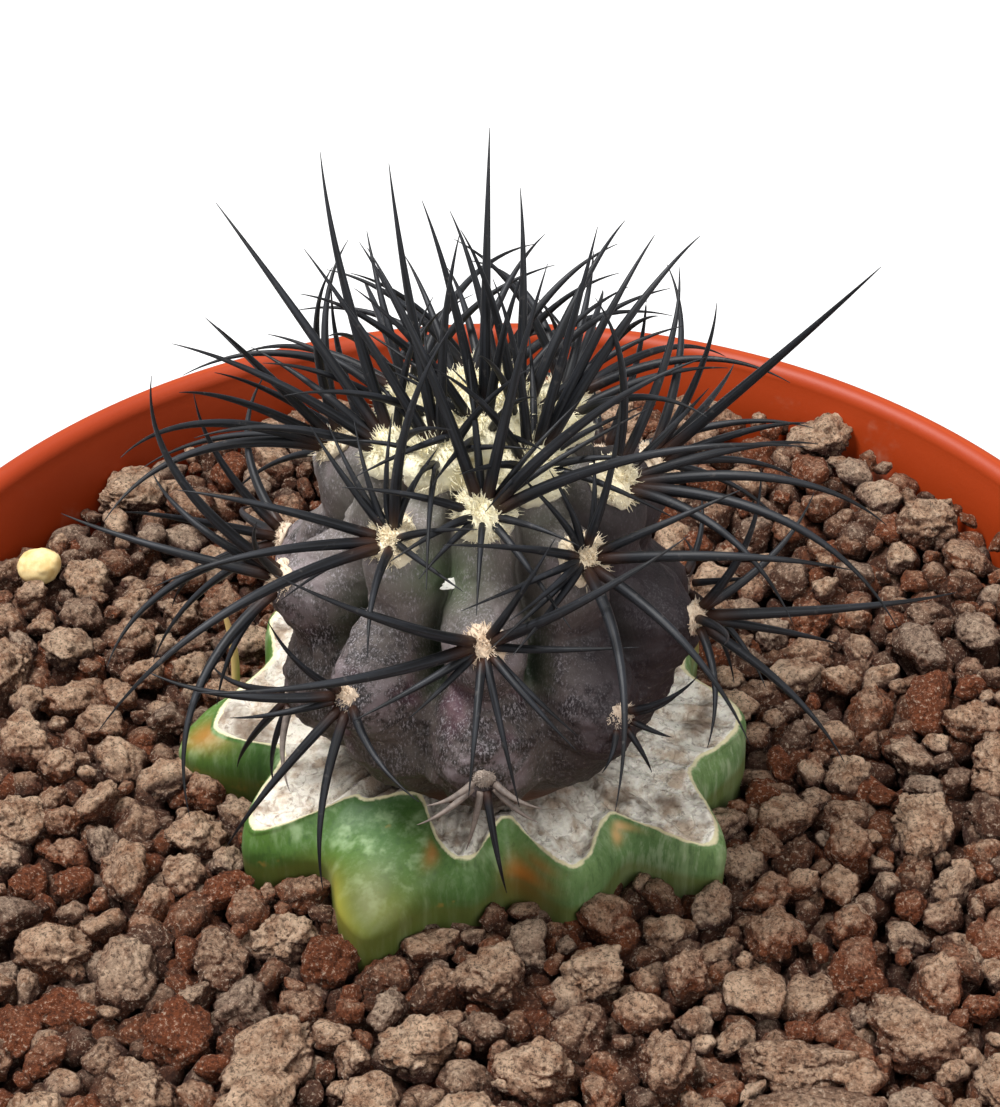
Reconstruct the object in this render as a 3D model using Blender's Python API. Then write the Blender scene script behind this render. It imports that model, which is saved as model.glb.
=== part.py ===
"""Round cactus grafted on a cut-down ribbed rootstock, in a round plant pot filled with lava grit.

Units are metres and +Z is up. The pot stands on z = 0 with its axis on Z, and the plant's front faces -Y.
A bearing is measured round the vertical, from 0 at the front (-Y), growing towards the right (+X).
"""

from math import radians

import bmesh
import bpy
import numpy as np
from mathutils import Vector

# Pot
POT_RIM_RADIUS = 0.070
POT_BASE_RADIUS = 0.049
POT_HEIGHT = 0.120
POT_WALL = 0.0022
RIM_BAND_HEIGHT = 0.018
RIM_BAND_STEP = 0.0010
FOOT_RECESS = 0.0015
FOOT_WIDTH = 0.005
POT_EDGE = 0.0010
DRAIN_HOLES = 6
DRAIN_RADIUS = 0.0035
DRAIN_CIRCLE = 0.030
POT_SIDES = 48
DRAIN_SIDES = 12

# Grit bed: its mean level is below the rim by GRIT_DROP
GRIT_DROP = 0.0092
BED_SINK = 0.0040
BED_ROUGHNESS = 0.0007
POCKET_GROWTH = 0.0005

# Round body of the cactus
BODY_RADIUS = 0.0198
BODY_CENTRE_X = -0.0021
BODY_CENTRE_Y = 0.0010
BODY_CUT_DROP = 0.0161
BODY_CONTACT_RADIUS = 0.0122
BODY_LOWEST_ROW = -43.0
RIBS = 10
GROOVE_DEPTH = 0.0030
TUBERCLE_HEIGHT = 0.0011
TUBERCLE_SPREAD = 11.0
BODY_SIDES = 60
BODY_ROWS = 16

# Rootstock: the cut face's height at its centre, and how far it falls at a rib's tip
STOCK_X = -0.0030
STOCK_Y = 0.0040
STOCK_FACE_HEIGHT = 0.0056
STOCK_FACE_FALL = 0.0028
STOCK_REACH = 0.029
STOCK_DEPTH = 0.036
CROWN_SHARE = 0.45
ROOT_BEARINGS = (20, 95, 165, 235, 305)
ROOT_LENGTH = 0.014
STOCK_SIDES = 60

# Outline of the cut face and of the skin at grit level: (bearing in degrees, radius), rib tip or valley
FACE_OUTLINE = (
    (-88, 0.0270), (-73, 0.0206), (-54, 0.0268), (-42, 0.0175), (-25, 0.0143), (-3, 0.0210), (10, 0.0163),
    (24, 0.0235), (41, 0.0200), (53, 0.0290), (69, 0.0232), (91, 0.0272), (107, 0.0230), (127, 0.0280),
    (144, 0.0223), (160, 0.0270), (176, 0.0213), (193, 0.0275), (210, 0.0223), (231, 0.0280), (249, 0.0235),
)
SKIN_OUTLINE = (
    (-87, 0.0306), (-73, 0.0218), (-54, 0.0276), (-41, 0.0230), (-21, 0.0288), (-8, 0.0225), (-2, 0.0222),
    (10, 0.0194), (24, 0.0243), (41, 0.0220), (53, 0.0296), (69, 0.0242), (91, 0.0278), (107, 0.0237),
    (127, 0.0286), (144, 0.0232), (160, 0.0278), (176, 0.0222), (193, 0.0282), (210, 0.0232), (231, 0.0286),
    (249, 0.0243),
)

# Gap that touching pieces keep
CLEARANCE = 0.0003

# Areoles: for each rib, the latitudes of its woolly areoles from the crown down, in degrees
AREOLE_LATITUDES = (
    (82, 60, 28, -12),
    (70, 44, 0),
    (81, 53, 8),
    (70, 36, -10),
    (82, 50, 12),
    (71, 40, -4),
    (81, 55, 16),
    (71, 46, 6),
    (82, 66, 20, -20),
    (72, 49, 6),
)
PAD_RADIUS = 0.0017
PAD_HEIGHT = 0.0011
PAD_SIDES = 8
SPINE_RADIUS = 0.00052
SPINE_GAP = 0.00045
SPINE_ARCH = 0.17
SPINE_LEAN = 0.04
SPINE_STEPS = 16

# Loose stones lying on the grit: bearing, share of the way from the stock to the pot's wall, radius
STONES = (
    (47, 0.64, 0.0036), (33, 0.65, 0.0027), (36, 0.45, 0.0024), (7, 0.56, 0.0034), (-6, 0.47, 0.0033),
    (-17, 0.56, 0.0032), (-28, 0.57, 0.0030), (-31, 0.31, 0.0032), (-61, 0.58, 0.0029), (82, 0.35, 0.0033),
    (143, 0.97, 0.0033), (91, 0.67, 0.0032), (49, 0.90, 0.0033), (-83, 0.67, 0.0030), (-135, 0.96, 0.0031),
)
PEBBLE = (-120, 0.97, 0.0023)
STONE_FLATNESS = 0.75


def grit_level():
    """Height of the grit's mean surface above the table."""
    return POT_HEIGHT - GRIT_DROP


def body_centre():
    """Centre of the round body: its cut base stands on the stock's face with the clearance."""
    base = grit_level() + STOCK_FACE_HEIGHT + CLEARANCE
    return np.array([BODY_CENTRE_X, BODY_CENTRE_Y, base + BODY_CUT_DROP])


def direction(bearing, latitude):
    """Unit vectors for bearings and latitudes in radians."""
    flat = np.cos(latitude)
    return np.stack([flat * np.sin(bearing), -flat * np.cos(bearing), np.sin(latitude)], axis=-1)


def make_material(name, colour, roughness):
    material = bpy.data.materials.new(name)
    material.use_nodes = True
    shader = material.node_tree.nodes["Principled BSDF"]
    shader.inputs["Base Color"].default_value = (*colour, 1.0)
    shader.inputs["Roughness"].default_value = roughness
    shader.inputs["Metallic"].default_value = 0.0
    return material


def add_object(name, bm, material):
    """Put a finished bmesh into the scene as one named object, smooth but for its sharp edges."""
    mesh = bpy.data.meshes.new(name)
    bm.to_mesh(mesh)
    bm.free()
    mesh.shade_smooth()
    mesh.set_sharp_from_angle(angle=radians(40))
    mesh.materials.append(material)
    thing = bpy.data.objects.new(name, mesh)
    bpy.context.scene.collection.objects.link(thing)
    return thing


def add_cutter(name, bm):
    """A guide body that a Boolean subtracts; it is not part of the object."""
    mesh = bpy.data.meshes.new(name)
    bm.to_mesh(mesh)
    bm.free()
    cutter = bpy.data.objects.new(name, mesh)
    cutter.hide_render = True
    cutter.display_type = "WIRE"
    bpy.context.scene.collection.objects.link(cutter)
    return cutter


def subtract(thing, cutter):
    cut = thing.modifiers.new(cutter.name, "BOOLEAN")
    cut.operation = "DIFFERENCE"
    cut.solver = "EXACT"
    cut.object = cutter


def skin_rings(bm, rings, start, end):
    """Join rings of points, each an array of the same count, between a first and a last pole point."""
    rows = [[bm.verts.new(point) for point in ring] for ring in rings]
    count = len(rows[0])
    for below, above in zip(rows, rows[1:]):
        for i in range(count):
            j = (i + 1) % count
            bm.faces.new((below[i], below[j], above[j], above[i]))
    for pole, row in ((start, rows[0]), (end, rows[-1])):
        centre = bm.verts.new(pole)
        for i in range(count):
            bm.faces.new((centre, row[i], row[(i + 1) % count]))
    bmesh.ops.recalc_face_normals(bm, faces=bm.faces)


# ---- pot ----------------------------------------------------------------------------------------------


def pot_outside(height):
    """Outer radius of the tapering wall at a height."""
    top = POT_RIM_RADIUS - RIM_BAND_STEP
    return POT_BASE_RADIUS + (top - POT_BASE_RADIUS) * height / POT_HEIGHT


def pot_inside(height):
    return pot_outside(height) - POT_WALL


def pot_floor_top():
    return FOOT_RECESS + POT_WALL


def pot_profile():
    """Half section of the pot, from the underside's centre round the outside and over the lip."""
    band_foot = POT_HEIGHT - RIM_BAND_HEIGHT
    lip = (POT_WALL + RIM_BAND_STEP) / 2
    lip_centre = POT_RIM_RADIUS - lip
    points = [
        (POT_BASE_RADIUS - FOOT_WIDTH - POT_EDGE, FOOT_RECESS),
        (POT_BASE_RADIUS - FOOT_WIDTH, 0.0),
        (POT_BASE_RADIUS - POT_EDGE, 0.0),
        (POT_BASE_RADIUS, POT_EDGE),
        (pot_outside(band_foot - RIM_BAND_STEP), band_foot - RIM_BAND_STEP),
        (POT_RIM_RADIUS - POT_EDGE / 2, band_foot),
        (POT_RIM_RADIUS, band_foot + POT_EDGE),
    ]
    for angle in (0, 36, 72, 108, 144, 180):
        turn = radians(angle)
        points.append((lip_centre + lip * np.cos(turn), POT_HEIGHT - lip + lip * np.sin(turn)))
    points += [
        (pot_inside(band_foot), band_foot),
        (pot_inside(pot_floor_top() + 3 * POT_EDGE), pot_floor_top() + 3 * POT_EDGE),
        (pot_inside(pot_floor_top()) - 3 * POT_EDGE, pot_floor_top()),
    ]
    return points


def turned_rings(profile, sides):
    """Rings of points made by turning a half section round Z, in order along the section."""
    bearing = np.arange(sides) * 2 * np.pi / sides
    rings = []
    for radius, height in profile:
        level = np.full(sides, height)
        rings.append(np.stack([radius * np.sin(bearing), -radius * np.cos(bearing), level], axis=-1))
    return rings


def build_pot():
    bm = bmesh.new()
    skin_rings(bm, turned_rings(pot_profile(), POT_SIDES), (0, 0, FOOT_RECESS), (0, 0, pot_floor_top()))
    clay = make_material("terracotta_plastic", (0.62, 0.17, 0.05), 0.45)
    pot = add_object("pot", bm, clay)
    holes = bmesh.new()
    for i in range(DRAIN_HOLES):
        turn = 2 * np.pi * (i + 0.5) / DRAIN_HOLES
        made = bmesh.ops.create_cone(
            holes,
            cap_ends=True,
            segments=DRAIN_SIDES,
            radius1=DRAIN_RADIUS,
            radius2=DRAIN_RADIUS,
            depth=4 * POT_WALL,
        )
        x = DRAIN_CIRCLE * np.sin(turn)
        y = -DRAIN_CIRCLE * np.cos(turn)
        place = Vector((x, y, FOOT_RECESS + POT_WALL / 2))
        bmesh.ops.translate(holes, verts=made["verts"], vec=place)
    subtract(pot, add_cutter("drain_hole_cutter", holes))


# ---- rootstock ----------------------------------------------------------------------------------------


def outline_radius(outline, bearing):
    """Radius of a closed outline at bearings in degrees: a cosine wave from each tip to the next valley."""
    angles = [a for a, _ in outline]
    radii = [r for _, r in outline]
    angles = np.array([angles[-1] - 360, *angles, angles[0] + 360], dtype=float)
    radii = np.array([radii[-1], *radii, radii[0]])
    bearing = (np.asarray(bearing, dtype=float) - angles[1]) % 360 + angles[1]
    i = np.clip(np.searchsorted(angles, bearing, side="right") - 1, 0, len(angles) - 2)
    u = (bearing - angles[i]) / (angles[i + 1] - angles[i])
    wave = 0.5 - 0.5 * np.cos(np.pi * u)
    return radii[i] + (radii[i + 1] - radii[i]) * wave


def face_height(radius):
    """Height of the domed cut face above the grit level."""
    return STOCK_FACE_HEIGHT - STOCK_FACE_FALL * (radius / STOCK_REACH) ** 2


def build_stock_mesh(grow):
    """Rootstock: cut face, ribbed skin, buried stem and main roots, all made thicker by grow."""
    sides = STOCK_SIDES
    degrees = np.arange(sides) * 360.0 / sides
    face = outline_radius(FACE_OUTLINE, degrees)
    skin = outline_radius(SKIN_OUTLINE, degrees)
    level = grit_level()
    rim_height = face_height(face)
    rounded = STOCK_REACH * CROWN_SHARE

    def ring(radius, height):
        turn = np.radians(degrees)
        x = STOCK_X + (radius + grow) * np.sin(turn)
        y = STOCK_Y - (radius + grow) * np.cos(turn)
        return np.stack([x, y, level + height + 0 * turn], axis=-1)

    rings = [ring(face * share, face_height(face * share) + grow) for share in (0.45, 0.8, 1.0)]
    for across, down in ((0.6, 0.3), (0.92, 0.65), (1.0, 1.0)):
        rings.append(ring(face + (skin - face) * across, rim_height * (1 - down) + grow))
    for share, height in ((1.0, -0.004), (0.94, -0.014), (0.62, -0.024), (0.25, -0.031)):
        rings.append(ring(rounded + (skin - rounded) * share, height))
    rings.append(ring(rounded * 0.8, -0.97 * STOCK_DEPTH - grow))
    top = (STOCK_X, STOCK_Y, level + STOCK_FACE_HEIGHT + grow)
    bottom = (STOCK_X, STOCK_Y, level - STOCK_DEPTH - grow)
    bm = bmesh.new()
    skin_rings(bm, rings, top, bottom)
    bm.faces.ensure_lookup_table()
    lowest_band = (len(rings) - 2) * sides
    starts = [bm.faces[lowest_band + int(bearing * sides / 360)] for bearing in ROOT_BEARINGS]
    for bearing, start in zip(ROOT_BEARINGS, starts):
        add_root(bm, start, bearing, grow)
    return bm


def add_root(bm, face, bearing, grow):
    """A root that leaves the crown through a shoulder, then tapers and bends down on its way out."""
    turn = radians(bearing)
    outward = Vector((np.sin(turn), -np.cos(turn), 0.0))
    thicker = 0.0
    for share, drop, taper in ((0.05, 0.0, 0.6), (0.33, 0.15, 0.8), (0.33, 0.35, 0.8), (0.29, 0.6, 0.8)):
        grown = bmesh.ops.extrude_discrete_faces(bm, faces=[face])["faces"][0]
        step = (outward - Vector((0, 0, drop))) * (ROOT_LENGTH * share)
        middle = grown.calc_center_median()
        for vert in grown.verts:
            corner = vert.co - middle
            spoke = corner.normalized()
            vert.co = middle + (corner - spoke * thicker) * taper + spoke * 1.5 * grow + step
        thicker = 1.5 * grow
        face = grown


def build_rootstock():
    green = make_material("stock_skin", (0.20, 0.36, 0.08), 0.45)
    add_object("rootstock", build_stock_mesh(0.0), green)


# ---- grit bed and stones ------------------------------------------------------------------------------


def bed_bump(x, y):
    """Gentle lumps of the bed's surface."""
    return BED_ROUGHNESS * (np.sin(310 * x + 1.0) * np.cos(270 * y) + 0.6 * np.sin(190 * (x + y)))


def bed_surface(x, y):
    return grit_level() - BED_SINK + bed_bump(x, y)


def build_bed():
    sides = POT_SIDES
    turn = np.arange(sides) * 2 * np.pi / sides
    floor = pot_floor_top() + CLEARANCE
    corner = floor + 3 * POT_EDGE
    top = grit_level() - BED_SINK
    rings = []
    for radius, height in (
        (pot_inside(floor) - 4 * POT_EDGE, floor),
        (pot_inside(corner) - 2 * CLEARANCE, corner),
        (pot_inside(top) - 2 * CLEARANCE, top),
    ):
        flat = np.full(sides, height)
        rings.append(np.stack([radius * np.sin(turn), -radius * np.cos(turn), flat], axis=-1))
    for share in (0.88, 0.74, 0.6, 0.45, 0.25):
        radius = pot_inside(top) * share
        x = radius * np.sin(turn)
        y = -radius * np.cos(turn)
        rings.append(np.stack([x, y, bed_surface(x, y)], axis=-1))
    bm = bmesh.new()
    skin_rings(bm, rings, (0, 0, floor), (0, 0, bed_surface(0, 0)))
    grit = make_material("lava_grit", (0.30, 0.20, 0.15), 0.95)
    bed = add_object("lava_bed", bm, grit)
    subtract(bed, add_cutter("stock_pocket_cutter", build_stock_mesh(POCKET_GROWTH)))


def stone_place(bearing, share, radius):
    """Centre of a loose stone: clear of the bed's highest point under it, between stock and wall."""
    wall = pot_inside(grit_level()) - radius
    reach = STOCK_REACH + radius + (wall - STOCK_REACH - 2 * radius) * share
    turn = radians(bearing)
    x = reach * np.sin(turn)
    y = -reach * np.cos(turn)
    step = np.linspace(-radius, radius, 7)
    across, along = np.meshgrid(x + step, y + step)
    ground = max(bed_surface(across, along).max(), grit_level() - BED_SINK)
    return Vector((x, y, ground + CLEARANCE + STONE_FLATNESS * radius))


def build_stone(name, bearing, share, radius, material, fineness, lumpiness):
    """A flattened ball whose points are pushed in by slow waves: coarse and lumpy, or fine and smooth."""
    bm = bmesh.new()
    bmesh.ops.create_icosphere(bm, subdivisions=fineness, radius=radius)
    seed = bearing * 0.7
    for vert in bm.verts:
        x, y, z = vert.co / radius
        lump = np.sin(3.1 * x + seed) * np.cos(2.7 * y - seed) + 0.5 * np.sin(4.3 * z + 2 * seed)
        vert.co *= 1 - lumpiness * abs(lump)
        vert.co.z *= STONE_FLATNESS
    place = stone_place(bearing, share, radius)
    bmesh.ops.translate(bm, verts=bm.verts, vec=place)
    add_object(name, bm, material)


def build_stones():
    lava = make_material("lava_stone", (0.36, 0.26, 0.21), 0.95)
    for number, (bearing, share, radius) in enumerate(STONES, start=1):
        build_stone(f"lava_stone_{number:02d}", bearing, share, radius, lava, 1, 0.16)
    cream = make_material("cream_pebble", (0.72, 0.62, 0.40), 0.7)
    build_stone("cream_pebble", *PEBBLE, cream, 2, 0.0)


# ---- round body ---------------------------------------------------------------------------------------


def areoles():
    """Every areole as (rib number, row number, bearing, latitude), in degrees."""
    found = []
    for rib, latitudes in enumerate(AREOLE_LATITUDES):
        for row, latitude in enumerate(latitudes):
            found.append((rib, row, rib * 360.0 / RIBS, float(latitude)))
    return found


def body_radius(bearing, latitude):
    """Distance of the skin from the body's centre: a ball with grooves between ribs and a swelling at
    each areole. Angles in radians."""
    groove = np.abs(np.sin(RIBS / 2 * bearing))
    fade = np.clip(np.cos(latitude), 0.0, 1.0) ** 0.6
    radius = BODY_RADIUS - GROOVE_DEPTH * fade * (0.35 * groove**2 + 0.65 * groove**6)
    here = direction(bearing, latitude)
    spread = radians(TUBERCLE_SPREAD)
    for _, row, at, height in areoles():
        there = direction(radians(at), radians(height))
        apart = np.arccos(np.clip(here @ there, -1.0, 1.0))
        rise = TUBERCLE_HEIGHT * (0.5 if row == 0 else 1.0)
        radius = radius + rise * np.exp(-((apart / spread) ** 2))
    return radius


def build_body():
    columns = BODY_SIDES
    bearing = np.arange(columns) * 2 * np.pi / columns
    centre = body_centre()
    base = np.stack(
        [BODY_CONTACT_RADIUS * np.sin(bearing), -BODY_CONTACT_RADIUS * np.cos(bearing), 0 * bearing], axis=-1
    )
    rings = [centre + base - [0, 0, BODY_CUT_DROP]]
    for latitude in np.radians(np.linspace(BODY_LOWEST_ROW, 84.0, BODY_ROWS)):
        turned = direction(bearing, np.full(columns, latitude))
        rings.append(centre + turned * body_radius(bearing, np.full(columns, latitude))[:, None])
    crown = centre + [0, 0, body_radius(np.array([0.0]), np.array([np.pi / 2]))[0]]
    bm = bmesh.new()
    skin_rings(bm, rings, centre - [0, 0, BODY_CUT_DROP], crown)
    skin = make_material("cactus_skin", (0.20, 0.16, 0.19), 0.6)
    add_object("cactus_body", bm, skin)


# ---- spines -------------------------------------------------------------------------------------------

# A spine is (turn, lift, length). Turn is its way round its areole in degrees, seen from outside with the
# crown up: 0 towards the crown, 90 towards the right. Lift is its angle above the skin, length is in
# millimetres.
CROWN_TUFT = ((110, 34, 17), (180, 30, 15), (250, 34, 17))
SHOULDER_TUFT = (
    (0, 30, 12), (50, 26, 17), (100, 24, 20), (150, 26, 18), (205, 28, 19), (255, 24, 20), (310, 26, 17),
)
MIDDLE_TUFT = (
    (0, 34, 16), (55, 28, 17), (100, 24, 21), (145, 32, 17), (185, 40, 18), (235, 26, 19), (285, 26, 20),
)
LOW_TUFT = ((60, 22, 10), (105, 24, 12), (160, 30, 13), (205, 30, 11), (250, 22, 12), (310, 20, 8))
OWN_TUFTS = {
    (0, 0): ((12, 60, 26), (-30, 62, 21), (75, 55, 17), (-85, 50, 17), (150, 45, 12)),
    (0, 1): (
        (20, 50, 23), (-28, 45, 24), (70, 42, 25), (90, 28, 29),
        (-75, 26, 12), (-125, 24, 9), (135, 24, 9),
    ),
    (0, 2): (
        (-64, 28, 20), (-93, 26, 25), (56, 24, 21), (30, 24, 12),
        (186, 28, 12), (135, 24, 11), (-130, 28, 8),
    ),
    (0, 3): (
        (-165, 30, 6), (167, 36, 10), (-115, 24, 6), (-80, 34, 5), (120, 26, 5), (85, 34, 5),
    ),
    (1, 0): (
        (42, 62, 22), (62, 46, 22), (88, 44, 24), (-60, 50, 16), (140, 35, 10), (-10, 60, 18),
    ),
    (1, 1): (
        (122, 34, 22), (176, 28, 21), (-149, 20, 23), (90, 42, 14),
        (-67, 16, 15), (-99, 14, 12), (20, 40, 14),
    ),
    (1, 2): ((35, 34, 8), (70, 24, 4), (120, 40, 4), (-130, 24, 4), (165, 30, 5)),
    (2, 0): ((60, 55, 20), (100, 40, 20), (0, 66, 19), (150, 40, 16), (-70, 50, 14)),
    (2, 1): (
        (172, 34, 23), (-165, 26, 27), (-140, 22, 20), (140, 42, 18),
        (110, 28, 12), (60, 40, 19), (0, 46, 18),
    ),
    (2, 2): (
        (110, 58, 25), (135, 40, 16), (-115, 14, 12), (-155, 50, 18),
        (15, 22, 15), (60, 34, 15), (-60, 24, 13),
    ),
    (3, 1): (
        (-45, 58, 31), (-85, 55, 16), (5, 56, 16), (60, 40, 18), (120, 40, 16), (180, 34, 15),
    ),
    (7, 1): (
        (53, 62, 18), (85, 52, 18), (108, 40, 21), (128, 27, 22),
        (-134, 50, 19), (0, 45, 18), (-60, 40, 18),
    ),
    (8, 1): (
        (-155, 55, 21), (-99, 50, 26), (-60, 56, 26), (-178, 40, 17),
        (-120, 30, 15), (-25, 40, 13), (60, 30, 12),
    ),
    (8, 2): (
        (-20, 42, 22), (-58, 36, 19), (-106, 54, 21), (134, 20, 22),
        (165, 14, 12), (-90, 30, 17), (30, 30, 12),
    ),
    (8, 3): ((-100, 30, 12), (-150, 30, 13), (175, 30, 9), (120, 24, 8)),
    (9, 0): ((-34, 60, 26), (-72, 50, 21), (0, 64, 21), (150, 40, 10), (80, 40, 13)),
    (9, 1): (
        (-138, 36, 20), (-160, 26, 29), (-108, 40, 18), (8, 32, 20),
        (140, 20, 13), (-56, 36, 11), (70, 24, 10),
    ),
    (9, 2): (
        (-82, 36, 17), (-112, 28, 10), (-158, 33, 17), (162, 30, 16), (100, 22, 12), (-30, 26, 10),
    ),
}


def tuft_for(rib, row, latitude):
    if (rib, row) in OWN_TUFTS:
        return OWN_TUFTS[rib, row]
    if row == 0:
        return CROWN_TUFT
    if latitude > 30:
        return SHOULDER_TUFT
    if latitude > -4:
        return MIDDLE_TUFT
    return LOW_TUFT


def areole_frame(bearing, latitude):
    """Middle of the wool pad's base, the outward normal, the way to the crown and the way to the right."""
    b = radians(bearing)
    t = radians(latitude)
    outward = direction(b, t)
    right = np.array([np.cos(b), np.sin(b), 0.0])
    upward = np.cross(outward, right)
    reach = 1.3 * PAD_RADIUS / BODY_RADIUS
    around = np.linspace(0, 2 * np.pi, 12, endpoint=False)
    lift = t + reach * np.cos(around)
    side = b + reach * np.sin(around) / max(np.cos(t), 0.25)
    rim = direction(side, lift) * body_radius(side, lift)[:, None]
    middle = outward * body_radius(np.array([b]), np.array([t]))[0]
    highest = max((rim @ outward).max(), middle @ outward)
    base = body_centre() + outward * (highest + CLEARANCE)
    return base, outward, upward, right


def spine_points(start, frame, turn, lift, length, count):
    """A spine as a gently curved run of points: it leaves at its lift angle and bends back to the skin."""
    _, outward, upward, right = frame
    flat = upward * np.cos(radians(turn)) + right * np.sin(radians(turn))
    straight = outward * np.sin(radians(lift)) + flat * np.cos(radians(lift))
    bend = outward * SPINE_ARCH - flat * SPINE_LEAN
    t = np.linspace(0.0, 1.0, count)[:, None]
    return start + length * (straight * t + bend * 4 * t * (1 - t) * 0.5)


def ground_below(points):
    """Height that a spine has to stay above: the cut face inside the stock's skin, the grit outside it."""
    dx = points[:, 0] - STOCK_X
    dy = points[:, 1] - STOCK_Y
    radius = np.hypot(dx, dy)
    bearing = np.degrees(np.arctan2(dx, -dy))
    inside = radius < outline_radius(SKIN_OUTLINE, bearing) + 4 * SPINE_RADIUS
    return np.where(inside, face_height(radius), BED_ROUGHNESS) + grit_level()


def is_clear(points, others):
    """Whether a spine keeps off the body, the stock, the bed and the spines that are already placed."""
    away = points[4:]
    if (away[:, 2] < ground_below(away) + 2 * SPINE_RADIUS).any():
        return False
    out = away - body_centre()
    distance = np.linalg.norm(out, axis=1)
    latitude = np.arcsin(out[:, 2] / distance)
    bearing = np.arctan2(out[:, 0], -out[:, 1])
    if (distance < body_radius(bearing, latitude) + SPINE_RADIUS + SPINE_GAP).any():
        return False
    if len(others) == 0:
        return True
    apart = np.linalg.norm(points[:, None, :] - others[None, :, :], axis=2)
    return apart.min() > 2 * SPINE_RADIUS + SPINE_GAP


def nudges():
    """Small changes of turn and lift, the smallest first."""
    steps = [(a, b) for a in range(-40, 41, 5) for b in range(-20, 41, 5)]
    return sorted(steps, key=lambda s: (abs(s[0]) + abs(s[1]), s))


def grow_spines():
    """Settle every spine: each takes its own direction, or the nearest one that is clear."""
    placed = []
    tufts = {}
    pads = {}
    for rib, row, bearing, latitude in areoles():
        pads[rib, row] = areole_frame(bearing, latitude)
    order = sorted(areoles(), key=lambda a: ((a[0], a[1]) not in OWN_TUFTS, a[3]))
    for rib, row, bearing, latitude in order:
        frame = pads[rib, row]
        own = []
        others = list(placed)
        for key, (base, outward, _, _) in pads.items():
            if key != (rib, row):
                others.append(base + outward * np.linspace(0, PAD_HEIGHT, 2)[:, None])
        others = np.concatenate(others)
        for turn, lift, length in tuft_for(rib, row, latitude):
            settled = settle(frame, turn, lift, length / 1000, others)
            if settled:
                own.append(settled)
        for item in own:
            placed.append(spine_points(spine_root(frame, item), frame, *item, SPINE_STEPS))
        tufts[rib, row] = (frame, own)
    return tufts


def spine_root(frame, item):
    """Where a spine leaves the wool: near the pad's edge when it lies flat, at its middle when upright."""
    base, outward, upward, right = frame
    turn, lift, _ = item
    flat = upward * np.cos(radians(turn)) + right * np.sin(radians(turn))
    out = 0.75 * PAD_RADIUS * np.cos(radians(lift))
    return base + outward * 0.6 * PAD_HEIGHT + flat * out


def settle(frame, turn, lift, length, others):
    for shorter in (1.0, 0.8, 0.6):
        for more_turn, more_lift in nudges():
            item = (turn + more_turn, min(lift + more_lift, 85), length * shorter)
            points = spine_points(spine_root(frame, item), frame, *item, SPINE_STEPS)
            if is_clear(points, others):
                return item
    return None


def grow_cone(bm, face, path, radius):
    """Draw one face of the wool pad out into a tapering spine along a path."""
    for share, point in zip((1.0, 0.72), path[1:-1]):
        grown = bmesh.ops.extrude_discrete_faces(bm, faces=[face])["faces"][0]
        along = Vector(path[-1] - path[0]).normalized()
        middle = grown.calc_center_median()
        spin = grown.normal.rotation_difference(along)
        corners = [spin @ (vert.co - middle) for vert in grown.verts]
        widest = max(corner.length for corner in corners)
        for vert, corner in zip(grown.verts, corners):
            vert.co = Vector(point) + corner * (radius * share / widest)
        face = grown
    tip = bmesh.ops.poke(bm, faces=[face])["verts"][0]
    tip.co = Vector(path[-1])


def build_tuft(name, frame, spines, material):
    """Wool pad with its spines, one body: a low dome whose faces are drawn out into the spines."""
    base, outward, upward, right = frame
    bm = bmesh.new()
    around = np.arange(PAD_SIDES) * 2 * np.pi / PAD_SIDES
    spokes = np.cos(around)[:, None] * upward + np.sin(around)[:, None] * right
    rings = []
    for width, height in ((0.8, 0.0), (1.0, 0.3), (0.8, 0.7), (0.4, 1.0)):
        rings.append(base + spokes * PAD_RADIUS * width + outward * PAD_HEIGHT * height)
    skin_rings(bm, rings, base, base + outward * PAD_HEIGHT * 1.05)
    quads = [face for face in bm.faces if len(face.verts) == 4]
    free = {face: face.calc_center_median() for face in quads if face.normal.dot(Vector(outward)) > 0.05}
    for item in sorted(spines, key=lambda s: s[1]):
        root = spine_root(frame, item)
        path = spine_points(root, frame, *item, 4)
        aim = Vector(path[1] - base).normalized()
        face = max(free, key=lambda f: (free[f] - Vector(base)).normalized().dot(aim))
        del free[face]
        path = [path[0], path[0] + (path[1] - path[0]) * 0.3, path[2], path[3]]
        grow_cone(bm, face, path, SPINE_RADIUS)
    add_object(name, bm, material)


def build_spines():
    dark = make_material("spine", (0.03, 0.03, 0.035), 0.35)
    for (rib, row), (frame, spines) in sorted(grow_spines().items()):
        build_tuft(f"spines_rib{rib + 1:02d}_row{row + 1}", frame, spines, dark)


def clear_scene():
    for thing in list(bpy.data.objects):
        bpy.data.objects.remove(thing)


clear_scene()
build_pot()
build_rootstock()
build_bed()
build_stones()
build_body()
build_spines()
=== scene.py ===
import math

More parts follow.
